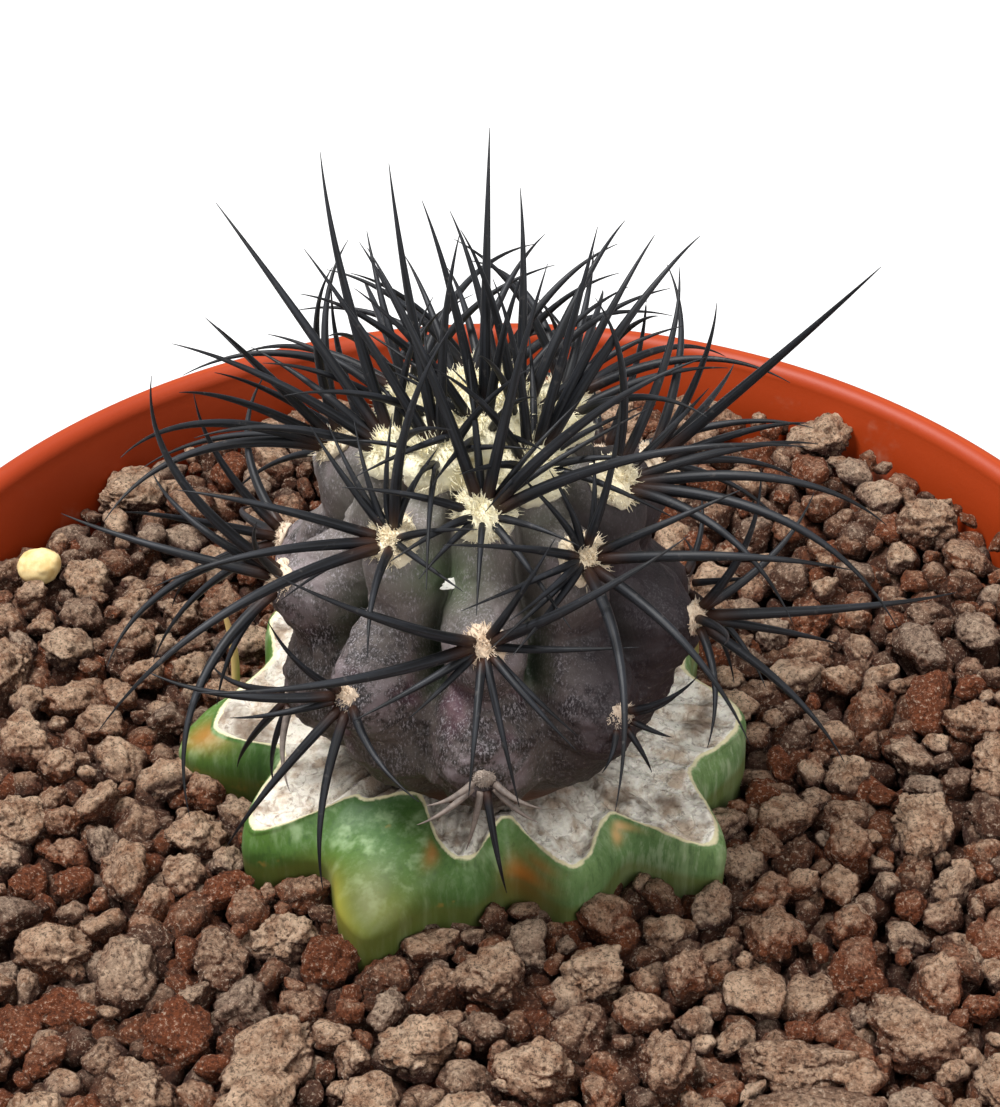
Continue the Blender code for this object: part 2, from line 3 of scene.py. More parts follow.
import bmesh
import bpy
import numpy as np
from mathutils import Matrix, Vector


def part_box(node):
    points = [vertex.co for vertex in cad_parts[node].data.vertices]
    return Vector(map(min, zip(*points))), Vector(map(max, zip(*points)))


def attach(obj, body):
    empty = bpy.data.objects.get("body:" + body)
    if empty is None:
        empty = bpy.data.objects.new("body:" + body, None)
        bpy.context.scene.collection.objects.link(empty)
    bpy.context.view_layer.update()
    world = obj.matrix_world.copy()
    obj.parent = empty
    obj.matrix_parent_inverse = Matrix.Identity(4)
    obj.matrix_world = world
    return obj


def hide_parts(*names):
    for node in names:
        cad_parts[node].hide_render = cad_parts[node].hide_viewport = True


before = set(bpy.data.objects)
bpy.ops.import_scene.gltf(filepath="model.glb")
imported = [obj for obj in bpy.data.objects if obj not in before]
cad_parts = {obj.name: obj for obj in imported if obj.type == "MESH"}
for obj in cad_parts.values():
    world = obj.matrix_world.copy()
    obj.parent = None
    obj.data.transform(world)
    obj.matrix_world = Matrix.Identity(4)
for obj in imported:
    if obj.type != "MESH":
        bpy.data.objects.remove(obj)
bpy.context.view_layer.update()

# Shared places, in metres. Bearings run from the front (-Y) towards the right (+X).
place = {
    "grit": 0.1108,
    "bodyCentre": np.array([-0.0021, 0.0010, 0.1328]),
    "bodyRadius": 0.0198,
    "stockX": -0.0030,
    "stockY": 0.0040,
    "stockFace": 0.0056,
    "stockFall": 0.0028,
    "stockReach": 0.029,
    "ribs": 10,
}

camera = bpy.data.objects.new("camera", bpy.data.cameras.new("camera"))
bpy.context.scene.collection.objects.link(camera)
cameraSetting = {"target": (-0.00066, 0.03510, 0.1108), "distance": 0.25634, "elevation": 38.7}
lookUp = math.radians(cameraSetting["elevation"])
back = Vector((0, -math.cos(lookUp), math.sin(lookUp)))
camera.location = Vector(cameraSetting["target"]) + back * cameraSetting["distance"]
camera.rotation_mode = "QUATERNION"
camera.rotation_quaternion = back.to_track_quat("Z", "Y")
camera.data.sensor_fit = "AUTO"
camera.data.sensor_width = 36
camera.data.lens = 73.345
camera.data.clip_start = 0.01
bpy.context.scene.camera = camera
bpy.context.scene.view_settings.view_transform = "Standard"


def direction(bearing, latitude):
    # Unit vector at a bearing and a latitude, both in radians
    flat = np.cos(latitude)
    return np.stack([flat * np.sin(bearing), -flat * np.cos(bearing), np.sin(latitude)], axis=-1)


def latticeNoise(points, seed):
    # Smooth noise from 0 to 1: hashed values at whole-number corners, eased between
    cell = np.floor(points).astype(np.int64)
    part = points - cell
    part = part * part * (3 - 2 * part)
    total = np.zeros(points.shape[:-1])
    for corner in ((0, 0, 0), (1, 0, 0), (0, 1, 0), (1, 1, 0), (0, 0, 1), (1, 0, 1), (0, 1, 1), (1, 1, 1)):
        at = cell + corner
        key = at[..., 0] * 73856093 ^ at[..., 1] * 19349663 ^ at[..., 2] * 83492791 ^ (seed * 2654435761)
        key = ((key ^ (key >> 15)) * 2246822519) & 0xFFFFFFFF
        key = ((key ^ (key >> 13)) * 3266489917) & 0xFFFFFFFF
        value = ((key ^ (key >> 16)) & 0xFFFF) / 65535
        share = np.prod(np.where(corner, part, 1 - part), axis=-1)
        total += share * value
    return total


def layeredNoise(points, seed, layers):
    # Layers of smooth noise about zero, each twice as fine and about half as strong as the one before
    total = np.zeros(points.shape[:-1])
    for i in range(layers):
        total += (latticeNoise(points * 2.03 ** i, seed + i) - 0.5) * 0.55 ** i
    return total


def makePiece(name, points, faceSets, material, attributes=None, uv=None):
    # A smooth-shaded mesh from whole arrays of points and faces, riding on the root
    mesh = bpy.data.meshes.new(name)
    corners = np.concatenate([f.ravel() for f in faceSets]).astype(np.int32)
    sizes = np.concatenate([np.full(len(f), f.shape[1]) for f in faceSets])
    starts = np.concatenate([[0], np.cumsum(sizes)[:-1]]).astype(np.int32)
    mesh.vertices.add(len(points))
    mesh.vertices.foreach_set("co", points.astype(np.float32).ravel())
    mesh.loops.add(len(corners))
    mesh.loops.foreach_set("vertex_index", corners)
    mesh.polygons.add(len(sizes))
    mesh.polygons.foreach_set("loop_start", starts)
    mesh.update(calc_edges=True)
    mesh.shade_smooth()
    for key, values in (attributes or {}).items():
        layer = mesh.attributes.new(key, "FLOAT", "POINT")
        layer.data.foreach_set("value", np.asarray(values, np.float32).ravel())
    if uv is not None:
        layer = mesh.uv_layers.new(name="UVMap")
        layer.data.foreach_set("uv", uv[corners].astype(np.float32).ravel())
    mesh.materials.append(material)
    piece = bpy.data.objects.new(name, mesh)
    bpy.context.scene.collection.objects.link(piece)
    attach(piece, "root")
    return piece


def ringFaces(rows, columns):
    # Four-sided faces between neighbouring rings, each ring closed on itself
    row = np.arange(rows - 1)[:, None] * columns
    near = np.arange(columns)[None, :]
    far = (near + 1) % columns
    corners = [row + near, row + far, row + columns + far, row + columns + near]
    return np.stack(corners, -1).reshape(-1, 4)


def capFaces(ring, columns, pole, top):
    # Triangles from one ring to its pole, facing up at the top and down at the bottom
    near = ring * columns + np.arange(columns)
    far = ring * columns + (np.arange(columns) + 1) % columns
    order = [near, far] if top else [far, near]
    return np.stack([*order, np.full(columns, pole)], -1)


def makeRingPiece(name, rings, low, high, material, attributes=None):
    # Rings of points, lowest row first, closed by a pole at each end. Attributes are given for the rings, and
    # a pole takes the mean of its ring
    rows, columns = rings.shape[:2]
    points = np.concatenate([rings.reshape(-1, 3), [low], [high]])
    faces = [ringFaces(rows, columns)]
    faces.append(capFaces(0, columns, rows * columns, False))
    faces.append(capFaces(rows - 1, columns, rows * columns + 1, True))
    extra = {}
    for key, values in (attributes or {}).items():
        extra[key] = np.concatenate([values.ravel(), [values[0].mean()], [values[-1].mean()]])
    return makePiece(name, points, faces, material, extra)


def shade(red, green, blue):
    # Screen colour from 0 to 255 to a linear one
    value = np.array([red, green, blue]) / 255
    linear = np.where(value <= 0.04045, value / 12.92, ((value + 0.055) / 1.055) ** 2.4)
    return (*[float(v) for v in linear], 1.0)


def startMaterial(name, roughness, specular=0.5):
    material = bpy.data.materials.new(name)
    material.use_nodes = True
    shader = material.node_tree.nodes["Principled BSDF"]
    shader.inputs["Roughness"].default_value = roughness
    shader.inputs["Specular IOR Level"].default_value = specular
    return material, material.node_tree, shader


def addNode(tree, kind, inputs, **settings):
    node = tree.nodes.new("ShaderNode" + kind)
    for key, value in settings.items():
        setattr(node, key, value)
    for key, value in inputs.items():
        if isinstance(value, bpy.types.NodeSocket):
            tree.links.new(value, node.inputs[key])
        else:
            node.inputs[key].default_value = value
    return node


def objectPoint(tree, stretch=(1, 1, 1)):
    middle = addNode(tree, "TexCoord", {}).outputs["Object"]
    return addNode(tree, "Mapping", {"Vector": middle, "Scale": stretch}).outputs[0]


def noiseOf(tree, vector, scale, detail=3.0, roughness=0.6):
    settings = {"Vector": vector, "Scale": scale, "Detail": detail, "Roughness": roughness}
    return addNode(tree, "TexNoise", settings).outputs["Fac"]


def rangeOf(tree, value, low, high, start=0.0, end=1.0):
    settings = {"Value": value, "From Min": low, "From Max": high, "To Min": start, "To Max": end}
    return addNode(tree, "MapRange", settings, interpolation_type="SMOOTHSTEP").outputs[0]


def mixOf(tree, share, first, second):
    node = addNode(tree, "Mix", {}, data_type="RGBA")
    for index, value in ((0, share), (6, first), (7, second)):
        if isinstance(value, bpy.types.NodeSocket):
            tree.links.new(value, node.inputs[index])
        else:
            node.inputs[index].default_value = value
    return node.outputs[2]


def mathOf(tree, kind, first, second=0.5):
    return addNode(tree, "Math", {0: first, 1: second}, operation=kind).outputs[0]


def readOf(tree, name):
    return addNode(tree, "Attribute", {}, attribute_name=name).outputs["Fac"]


def bumpOf(tree, height, strength, distance):
    inputs = {"Height": height, "Strength": strength, "Distance": distance}
    return addNode(tree, "Bump", inputs).outputs["Normal"]


mottleInputs = (
    ("Point", "Vector"), ("Scale", "Float"), ("Detail", "Float"), ("Roughness", "Float"), ("Low", "Float"),
    ("High", "Float"), ("Share", "Float"), ("First", "Color"), ("Second", "Color"),
)


def makeMottleGroup():
    # Second colour over the first in soft patches: noise eased from low to high, times the share
    group = bpy.data.node_groups.new("mottle", "ShaderNodeTree")
    for name, kind in mottleInputs:
        group.interface.new_socket(name, in_out="INPUT", socket_type="NodeSocket" + kind)
    group.interface.new_socket("Colour", in_out="OUTPUT", socket_type="NodeSocketColor")
    group.interface.new_socket("Grain", in_out="OUTPUT", socket_type="NodeSocketFloat")
    given = group.nodes.new("NodeGroupInput").outputs
    result = group.nodes.new("NodeGroupOutput").inputs
    grain = noiseOf(group, given["Point"], given["Scale"], given["Detail"], given["Roughness"])
    share = rangeOf(group, grain, given["Low"], given["High"], 0.0, given["Share"])
    group.links.new(mixOf(group, share, given["First"], given["Second"]), result["Colour"])
    group.links.new(grain, result["Grain"])
    return group


mottleGroup = makeMottleGroup()


def mottleOf(tree, point, scale, detail, roughness, low, high, share, first, second):
    # Gives the mottled colour, and the noise behind it for bumps and masks
    given = (point, scale, detail, roughness, low, high, share, first, second)
    inputs = {name: value for (name, _), value in zip(mottleInputs, given)}
    node = addNode(tree, "Group", inputs, node_tree=mottleGroup)
    return node.outputs["Colour"], node.outputs["Grain"]


potSize = {
    "rim": 0.070, "base": 0.049, "height": 0.120, "wall": 0.0022, "band": 0.018, "step": 0.0010,
    "recess": 0.0015, "foot": 0.005, "edge": 0.0010, "sides": 240,
}


def potOutside(height):
    # The wall widens evenly from the base to just inside the rim band
    top = potSize["rim"] - potSize["step"]
    return potSize["base"] + (top - potSize["base"]) * height / potSize["height"]


def potInside(height):
    return potOutside(height) - potSize["wall"]


def makePotMaterial():
    # Terracotta-coloured plastic: warm orange in two faint tones, darker on the inner wall as painted shade,
    # and grey dust in patches on the inner wall
    material, tree, shader = startMaterial("potPlastic", 0.5, 0.28)
    point = objectPoint(tree)
    fine = noiseOf(tree, point, 900, 4, 0.7)
    clay, _ = mottleOf(tree, point, 28, 3, 0.6, 0.3, 0.7, 1.0, shade(166, 62, 20), shade(148, 50, 15))
    inner = rangeOf(tree, readOf(tree, "inner"), 0.2, 0.8)
    # Darker on the inner wall: painted shade
    clay = mixOf(tree, mathOf(tree, "MULTIPLY", inner, 0.6), clay, shade(148, 48, 12))
    patch = rangeOf(tree, noiseOf(tree, point, 55, 5, 0.7), 0.56, 0.78)
    dust = mathOf(tree, "MULTIPLY", patch, inner)
    dust = mathOf(tree, "MULTIPLY", dust, rangeOf(tree, fine, 0.35, 0.65, 0.2, 0.65))
    tree.links.new(mixOf(tree, dust, clay, shade(190, 165, 140)), shader.inputs["Base Color"])
    tree.links.new(rangeOf(tree, dust, 0.0, 0.6, 0.50, 0.85), shader.inputs["Roughness"])
    tree.links.new(bumpOf(tree, fine, 0.08, 0.0004), shader.inputs["Normal"])
    return material


def buildPot():
    # A section of radius and height, turned about the upright axis: out under the floor, over the foot ring,
    # up the wall, round the lip, down inside and across the floor. The third value is 1 on the inner wall
    size = potSize
    rim, base, height, edge, recess = (size[key] for key in ("rim", "base", "height", "edge", "recess"))
    foot = base - size["foot"]
    bandFoot = height - size["band"]
    lip = (size["wall"] + size["step"]) / 2
    lipLevel = height - lip
    floor = recess + size["wall"]
    section = [(radius, recess, 0) for radius in (0.006, 0.020, 0.036, foot - edge)]
    section += [(foot, 0, 0), (base - edge, 0, 0), (base - 0.3 * edge, 0.3 * edge, 0), (base, edge, 0)]
    section += [(potOutside(level), level, 0) for level in np.linspace(0.006, bandFoot - size["step"], 24)]
    section += [(rim - edge, bandFoot - 0.4 * edge, 0), (rim - 0.3 * edge, bandFoot, 0)]
    section += [(rim, bandFoot + 0.7 * edge, 0)]
    section += [(rim, level, 0) for level in np.linspace(bandFoot + 0.003, lipLevel - 0.001, 6)]
    for angle in np.radians(np.linspace(0, 180, 17)):
        inner = float(angle > 1.6)
        section.append((rim - lip + lip * np.cos(angle), lipLevel + lip * np.sin(angle), inner))
    section += [(potInside(level), level, 1) for level in np.linspace(lipLevel - 0.001, floor + 0.004, 30)]
    section += [(potInside(floor) - 0.0015, floor + 0.0006, 1), (potInside(floor) - 0.004, floor, 1)]
    section += [(0.02, floor, 1)]
    section = np.array(section)
    turn = np.arange(size["sides"]) * 2 * np.pi / size["sides"]
    around = np.stack([np.sin(turn), -np.cos(turn)], -1)
    rings = np.zeros((len(section), size["sides"], 3))
    rings[..., :2] = section[:, None, 0:1] * around[None]
    rings[..., 2] = section[:, 1:2]
    inner = np.repeat(section[:, 2:3], size["sides"], axis=1)
    material = makePotMaterial()
    pot = makeRingPiece("potShell", rings, (0, 0, recess), (0, 0, floor), material, {"inner": inner})
    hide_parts("pot")
    print("pot")


faceOutline = (
    (-88, .0270), (-73, .0206), (-54, .0268), (-42, .0175), (-25, .0143), (-3, .0210), (10, .0163),
    (24, .0235), (41, .0200), (53, .0290), (69, .0232), (91, .0272), (107, .0230), (127, .0280),
    (144, .0223), (160, .0270), (176, .0213), (193, .0275), (210, .0223), (231, .0280), (249, .0235),
)
skinOutline = (
    (-87, .0306), (-73, .0218), (-54, .0276), (-41, .0230), (-21, .0288), (-8, .0225), (-2, .0222),
    (10, .0194), (24, .0243), (41, .0220), (53, .0296), (69, .0242), (91, .0278), (107, .0237),
    (127, .0286), (144, .0232), (160, .0278), (176, .0222), (193, .0282), (210, .0232), (231, .0286),
    (249, .0243),
)


def outlineRadius(outline, bearing):
    # A cosine wave from each tip to the next valley
    angles = [a for a, _ in outline]
    radii = [r for _, r in outline]
    angles = np.array([angles[-1] - 360, *angles, angles[0] + 360], dtype=float)
    radii = np.array([radii[-1], *radii, radii[0]])
    bearing = (np.asarray(bearing, dtype=float) - angles[1]) % 360 + angles[1]
    i = np.clip(np.searchsorted(angles, bearing, side="right") - 1, 0, len(angles) - 2)
    part = (bearing - angles[i]) / (angles[i + 1] - angles[i])
    wave = 0.5 - 0.5 * np.cos(np.pi * part)
    return radii[i] + (radii[i + 1] - radii[i]) * wave


def faceHeight(radius):
    # The cut face is a low dome: it falls with the square of the distance from its middle
    return place["stockFace"] - place["stockFall"] * (radius / place["stockReach"]) ** 2


def makeStockMaterial():
    # Cut face: dry off-white callus mottled with grey and brown, with painted shade along its creases, the
    # body's painted shadow round its middle, and a darker left that is partly smudges and partly painted
    # shade. Edge: a cream line. Skin: green with soft upright streaks, lighter and bluer at the right as
    # painted light, with painted highlight streaks there, brownish where it meets the grit
    material, tree, shader = startMaterial("stockSkin", 0.55, 0.3)
    point = objectPoint(tree)
    fromRim = readOf(tree, "fromRim")
    wander = noiseOf(tree, point, 700, 3)
    wobble = mathOf(tree, "MULTIPLY", mathOf(tree, "SUBTRACT", wander, 0.5), 0.0008)
    edge = mathOf(tree, "ADD", fromRim, wobble)
    upright = objectPoint(tree, (1, 1, 0.12))
    side = readOf(tree, "side")
    # Lighter and bluer to the right: painted light on the lit side
    leaf = mixOf(tree, rangeOf(tree, side, -0.012, 0.012), shade(78, 112, 46), shade(120, 152, 96))
    leaf, _ = mottleOf(tree, point, 70, 2, 0.6, 0.35, 0.7, 0.6, leaf, shade(52, 88, 50))
    leaf, _ = mottleOf(tree, point, 1800, 4, 0.7, 0.5, 0.7, 0.3, leaf, shade(52, 80, 40))
    leaf, _ = mottleOf(tree, upright, 420, 3, 0.55, 0.52, 0.70, 0.55, leaf, shade(158, 182, 136))
    thin = noiseOf(tree, upright, 1100, 4, 0.7)
    # Pale streaks that grow stronger to the right: painted highlights
    lit = rangeOf(tree, side, 0.004, 0.018, 0.12, 0.55)
    paintedHighlight = mathOf(tree, "MULTIPLY", rangeOf(tree, thin, 0.48, 0.64), lit)
    leaf = mixOf(tree, paintedHighlight, leaf, shade(168, 186, 150))
    leaf = mixOf(tree, rangeOf(tree, thin, 0.46, 0.34, 0, 0.35), leaf, shade(44, 72, 40))
    leaf, _ = mottleOf(tree, point, 160, 4, 0.7, 0.62, 0.70, 0.8, leaf, shade(150, 128, 62))
    leaf = mixOf(tree, rangeOf(tree, fromRim, 0.0035, 0.009, 0, 0.6), leaf, shade(96, 92, 40))
    white, sand = shade(255, 250, 236), shade(206, 186, 164)
    callus, mottle = mottleOf(tree, point, 330, 5, 0.7, 0.44, 0.64, 1.0, white, sand)
    callus, grain = mottleOf(tree, point, 1500, 4, 0.7, 0.54, 0.68, 0.6, callus, shade(100, 84, 72))
    callus, _ = mottleOf(tree, point, 120, 3, 0.6, 0.55, 0.75, 0.5, callus, shade(190, 160, 134))
    fold = mathOf(tree, "ABSOLUTE", mathOf(tree, "SUBTRACT", noiseOf(tree, point, 210, 3, 0.55), 0.5))
    # Darker along the folds: painted shade in the creases
    callus = mixOf(tree, rangeOf(tree, fold, 0.022, 0.0, 0, 0.4), callus, shade(128, 106, 90))
    callus, _ = mottleOf(tree, point, 95, 4, 0.7, 0.50, 0.63, 0.8, callus, shade(104, 84, 68))
    # Darker towards the left: partly smudges, partly painted shade
    callus = mixOf(tree, rangeOf(tree, side, -0.006, -0.018, 0, 0.3), callus, shade(148, 128, 110))
    # Painted shadow of the body: the cut face darkens within reach of the body's middle
    near = rangeOf(tree, readOf(tree, "middle"), 0.012, 0.0165, 0.65, 0)
    callus = mixOf(tree, near, callus, shade(88, 72, 62))
    leaf = mixOf(tree, readOf(tree, "rust"), leaf, shade(168, 104, 40))
    leaf = mixOf(tree, readOf(tree, "yellow"), leaf, shade(176, 170, 70))
    leaf = mixOf(tree, readOf(tree, "scar"), leaf, shade(206, 170, 112))
    colour = mixOf(tree, rangeOf(tree, edge, -0.0005, -0.0003), callus, shade(234, 226, 184))
    colour = mixOf(tree, rangeOf(tree, edge, -0.0001, 0.0002), colour, leaf)
    tree.links.new(colour, shader.inputs["Base Color"])
    tree.links.new(rangeOf(tree, edge, 0.0, 0.0006, 0.85, 0.5), shader.inputs["Roughness"])
    onFace = rangeOf(tree, edge, -0.0008, 0.0002, 1.0, 0.03)
    creases = rangeOf(tree, fold, 0.0, 0.07, 0, 0.22)
    rough = mathOf(tree, "MULTIPLY", mathOf(tree, "ADD", creases, mathOf(tree, "ADD", mottle, grain)), onFace)
    tree.links.new(bumpOf(tree, rough, 0.6, 0.0006), shader.inputs["Normal"])
    shader.inputs["Subsurface Weight"].default_value = 0.04
    shader.inputs["Subsurface Radius"].default_value = (0.6, 1.0, 0.3)
    shader.inputs["Subsurface Scale"].default_value = 0.0012
    return material


# Kind, bearing in degrees, height, width in degrees, tallness, strength
skinMarks = (
    ("rust", 13, 0.0012, 5, 0.0014, 0.9), ("rust", 17, 0.0030, 3, 0.0008, 0.5),
    ("rust", -12, 0.0040, 2, 0.0006, 0.7), ("yellow", -30, 0.0004, 6, 0.0012, 0.8),
    ("yellow", -20, 0.0022, 9, 0.0012, 0.12), ("rust", -86, 0.0028, 4, 0.0012, 0.7),
    ("scar", 40, 0.0030, 1.6, 0.0007, 1.0), ("scar", 42, 0.0036, 2.2, 0.0004, 1.0),
    ("rust", 120, 0.002, 6, 0.001, 0.5), ("yellow", 200, 0.001, 9, 0.0012, 0.5),
)


stockSetting = {
    "sides": 480, "rootShare": 0.45, "lowest": 0.034,
    # share of the way out from root to skin, and height
    "buried": (
        (0.25, -0.031), (0.45, -0.027), (0.62, -0.024), (0.80, -0.019), (0.94, -0.014), (1, -0.009),
        (1, -0.004),
    ),
    # distance in from the edge, and how far below the face
    "roll": (
        (0.00012, -0.00016), (0.0004, -0.00028), (0.0008, -0.00024), (0.0012, -0.0001), (0.0017, 0.0001),
    ),
}


def buildStock():
    # Rings of the star outline: narrow at the roots, full at the grit, up the skin, rolled over the edge, and
    # drawn in to the middle of the face
    sides = stockSetting["sides"]
    degrees = np.arange(sides) * 360 / sides
    turn = np.radians(degrees)
    face = outlineRadius(faceOutline, degrees)
    skin = outlineRadius(skinOutline, degrees)
    rounded = place["stockReach"] * stockSetting["rootShare"]
    rimHeight = faceHeight(face)
    rows = []
    for share, height in stockSetting["buried"]:
        rows.append((rounded + (skin - rounded) * share, height + 0 * skin, 0.02 + 0 * skin))
    for part in np.linspace(0, 1, 18):
        # up the skin: bulges out below the rim, then runs in to it
        across = 1 - part ** 2.2
        height = rimHeight * part
        below = (1 - part) * np.hypot(skin - face, rimHeight) + 0.0006
        rows.append((face + (skin - face) * across, height, below))
    for inward, drop in stockSetting["roll"]:
        rows.append((face - inward, faceHeight(face - inward) - drop * 0.9, 0.0003 - inward + 0 * face))
    for share in np.linspace(0.90, 0.05, 34):
        radius = face * share
        rows.append((radius, faceHeight(radius) - 0.00015, radius - face))
    radius, height, fromRim = [np.array(part) for part in zip(*rows)]
    x = place["stockX"] + radius * np.sin(turn)
    y = place["stockY"] - radius * np.cos(turn)
    rings = np.stack([x, y, place["grit"] + height], -1)
    onFace = np.clip(-fromRim / 0.0012, 0, 1)
    onSkin = (fromRim > 0.0008) * (height > -0.004)
    radial = np.stack([np.sin(turn), -np.cos(turn), 0 * turn], -1)
    rings += (onSkin * 0.0005 * layeredNoise(rings * 260, 31, 3))[..., None] * radial[None]
    wrinkle = np.stack([np.cos(turn) * 16, np.sin(turn) * 16, 0 * turn], -1)[None] + radius[..., None] * 90
    rings[..., 2] += onFace * 0.0014 * layeredNoise(wrinkle, 5, 3)
    rings[..., 2] += onFace * 0.0009 * layeredNoise(rings * 420, 9, 4)
    low = (place["stockX"], place["stockY"], place["grit"] - stockSetting["lowest"])
    high = (place["stockX"], place["stockY"], place["grit"] + place["stockFace"] - 0.00015)
    # Marks on the skin, each a soft spot at a bearing and a height: rust, a yellow foot, a beige scar
    marks = {"rust": 0 * height, "yellow": 0 * height, "scar": 0 * height}
    for kind, bearing, level, wide, tall, strength in skinMarks:
        apart = (degrees - bearing + 180) % 360 - 180
        spot = np.exp(-((apart / wide) ** 2 + ((height - level) / tall) ** 2)) * strength
        marks[kind] = np.maximum(marks[kind], spot * (fromRim > 0.0008))
    middle = np.hypot(x - place["bodyCentre"][0], y - place["bodyCentre"][1])
    stock = makeRingPiece(
        "rootstockSkin", rings, low, high, makeStockMaterial(),
        {"fromRim": fromRim, "side": x, "middle": middle, **marks},
    )
    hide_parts("rootstock")
    print("rootstock")


gritSetting = {
    "seed": 11, "planes": 9, "largeShare": 0.88, "pileRight": 0.0058, "pileLeft": 0.0032, "coarse": 0.0017,
    "netStep": 0.0034, "netDepth": 0.0050, "coreDepth": 0.0068, "coreFloor": 0.0040, "coreSides": 160,
    # smallest and largest radius in millimetres, and tries
    "sizes": ((2.5, 3.1, 240), (1.9, 2.5, 1800), (1.4, 1.9, 6000), (0.9, 1.4, 14000)),
}
pebbleSetting = {"radius": 0.0024, "stretch": (1.05, 0.95, 0.8), "lift": 0.0006, "free": 0.0021}
# Large grains: x and y in millimetres, radius, length over width, heading in degrees, flatness, tone
largeGrains = (
    (-21, -21, 3.0, 1.2, 20, .8, .5), (-1, -26, 3.4, 1.2, 0, .8, .4), (8, -25.5, 3.4, 1.3, 10, .8, .5),
    (16.5, -26, 3.0, 1.1, 0, .9, .7), (37, -32.5, 5.0, 1.15, -20, .75, .55),
    (27.5, -43, 5.3, 2.4, 4, .6, .35), (26, -36.3, 4.2, 1.9, 5, .6, .4),
    (6, -46.5, 5.4, 1.9, -12, .6, .45), (-5, -44.5, 5.0, 1.2, 30, .8, .5),
    (-14, -45, 4.2, 1.1, 0, .8, .55), (-22, -42, 4.0, 1.3, 60, .8, .5),
    (-21, -34.5, 4.6, 1.7, 50, .7, .45), (-42, -23, 3.8, 1.1, 0, .9, .6), (41, -6, 4.4, 1.2, 80, .8, .5),
    (14, -35.5, 3.8, 1.3, 90, .8, .55), (-31, -7, 3.6, 1.2, 40, .8, .45), (38, 53, 4.4, 1.2, 0, .8, .5),
    (50, 1, 4.2, 1.3, 70, .8, .6), (-27, -24, 3.2, 1.2, 120, .8, .35), (45, -40, 4.6, 1.2, -60, .8, .5),
    (3, -37, 3.6, 1.2, 10, .8, .6), (-33, -38, 4.0, 1.3, -30, .8, .4), (-50, -6, 4.0, 1.2, 15, .8, .5),
    (-53, 14, 3.7, 1.3, 70, .8, .4), (-44, 44, 4.1, 1.2, 10, .8, .5), (-12, 58, 4.0, 1.3, 20, .8, .6),
    (13, 57, 4.2, 1.2, 0, .8, .45), (57, 22, 3.9, 1.3, 95, .8, .55), (48, 36, 3.8, 1.2, 30, .8, .4),
    (-8, -34, 3.5, 1.3, 15, .8, .5),
)


def gritRise(x, y):
    # The grit climbs to the wall at the back and sides: a smooth step outwards times a smooth step backwards
    away = np.clip((np.hypot(x, y) - 0.036) / 0.024, 0, 1)
    behind = np.clip((y + 0.024) / 0.050, 0, 1)
    share = np.clip(x / 0.08 + 0.5, 0, 1)
    pile = gritSetting["pileLeft"] + (gritSetting["pileRight"] - gritSetting["pileLeft"]) * share
    return pile * away * away * (3 - 2 * away) * behind * behind * (3 - 2 * behind)


def unitBall(level):
    shape = bmesh.new()
    bmesh.ops.create_icosphere(shape, subdivisions=level, radius=1.0)
    points = np.array([v.co for v in shape.verts])
    faces = np.array([[v.index for v in f.verts] for f in shape.faces])
    shape.free()
    return points, faces


def turnMatrices(angles):
    # Rotation for each row of three angles
    cosine, sine = np.cos(angles), np.sin(angles)
    zero, one = np.zeros(len(angles)), np.ones(len(angles))
    aboutX = np.stack([one, zero, zero, zero, cosine[:, 0], -sine[:, 0], zero, sine[:, 0], cosine[:, 0]], -1)
    aboutY = np.stack([cosine[:, 1], zero, sine[:, 1], zero, one, zero, -sine[:, 1], zero, cosine[:, 1]], -1)
    aboutZ = np.stack([cosine[:, 2], -sine[:, 2], zero, sine[:, 2], cosine[:, 2], zero, zero, zero, one], -1)
    return aboutZ.reshape(-1, 3, 3) @ aboutY.reshape(-1, 3, 3) @ aboutX.reshape(-1, 3, 3)


def makeGrains(name, centres, radii, stretch, angles, tones, level, seed, material, rough=1.0):
    # Each grain is a ball cut by soft random planes, then roughened by layered noise
    chance = np.random.default_rng(seed)
    count = len(centres)
    ball, faces = unitBall(level)
    planes = chance.normal(size=(count, gritSetting["planes"], 3))
    planes /= np.linalg.norm(planes, axis=-1, keepdims=True)
    heights = chance.uniform(0.60, 1.0, (count, 1, gritSetting["planes"]))
    facing = np.clip(np.einsum("vk,npk->nvp", ball, planes), 0, None) / heights
    reach = np.minimum(((facing ** 9).sum(-1) + 0.25) ** (-1 / 9), 1.12)
    offset = chance.uniform(0, 500, (count, 1, 3))
    reach += 0.30 * layeredNoise(ball[None] * 2.1 + offset, seed, 2)
    if level > 2:
        pits = latticeNoise(ball[None] * 6.5 + offset, seed + 3)
        lumps = latticeNoise(ball[None] * 4.6 + offset, seed + 7) - 0.5
        reach += 0.22 * lumps - 0.42 * np.clip(pits - 0.6, 0, 1)
    if level > 3:
        reach += 0.11 * (latticeNoise(ball[None] * 12 + offset, seed + 8) - 0.5)
        reach += 0.07 * (latticeNoise(ball[None] * 22 + offset, seed + 9) - 0.5)
    reach = 1 + (reach - 1) * rough
    shape = ball[None] * reach[..., None] * stretch[:, None, :]
    shape = np.einsum("nij,nvj->nvi", turnMatrices(angles), shape)
    shape = shape * radii[:, None, None] + centres[:, None, :]
    index = faces[None] + (np.arange(count) * len(ball))[:, None, None]
    tone = np.repeat(tones, len(ball))
    shape = shape.reshape(-1, 3)
    over = shape[:, 2] - place["grit"] - gritRise(shape[:, 0], shape[:, 1])
    return makePiece(name, shape, [index.reshape(-1, 3)], material, {"tone": tone, "over": over})


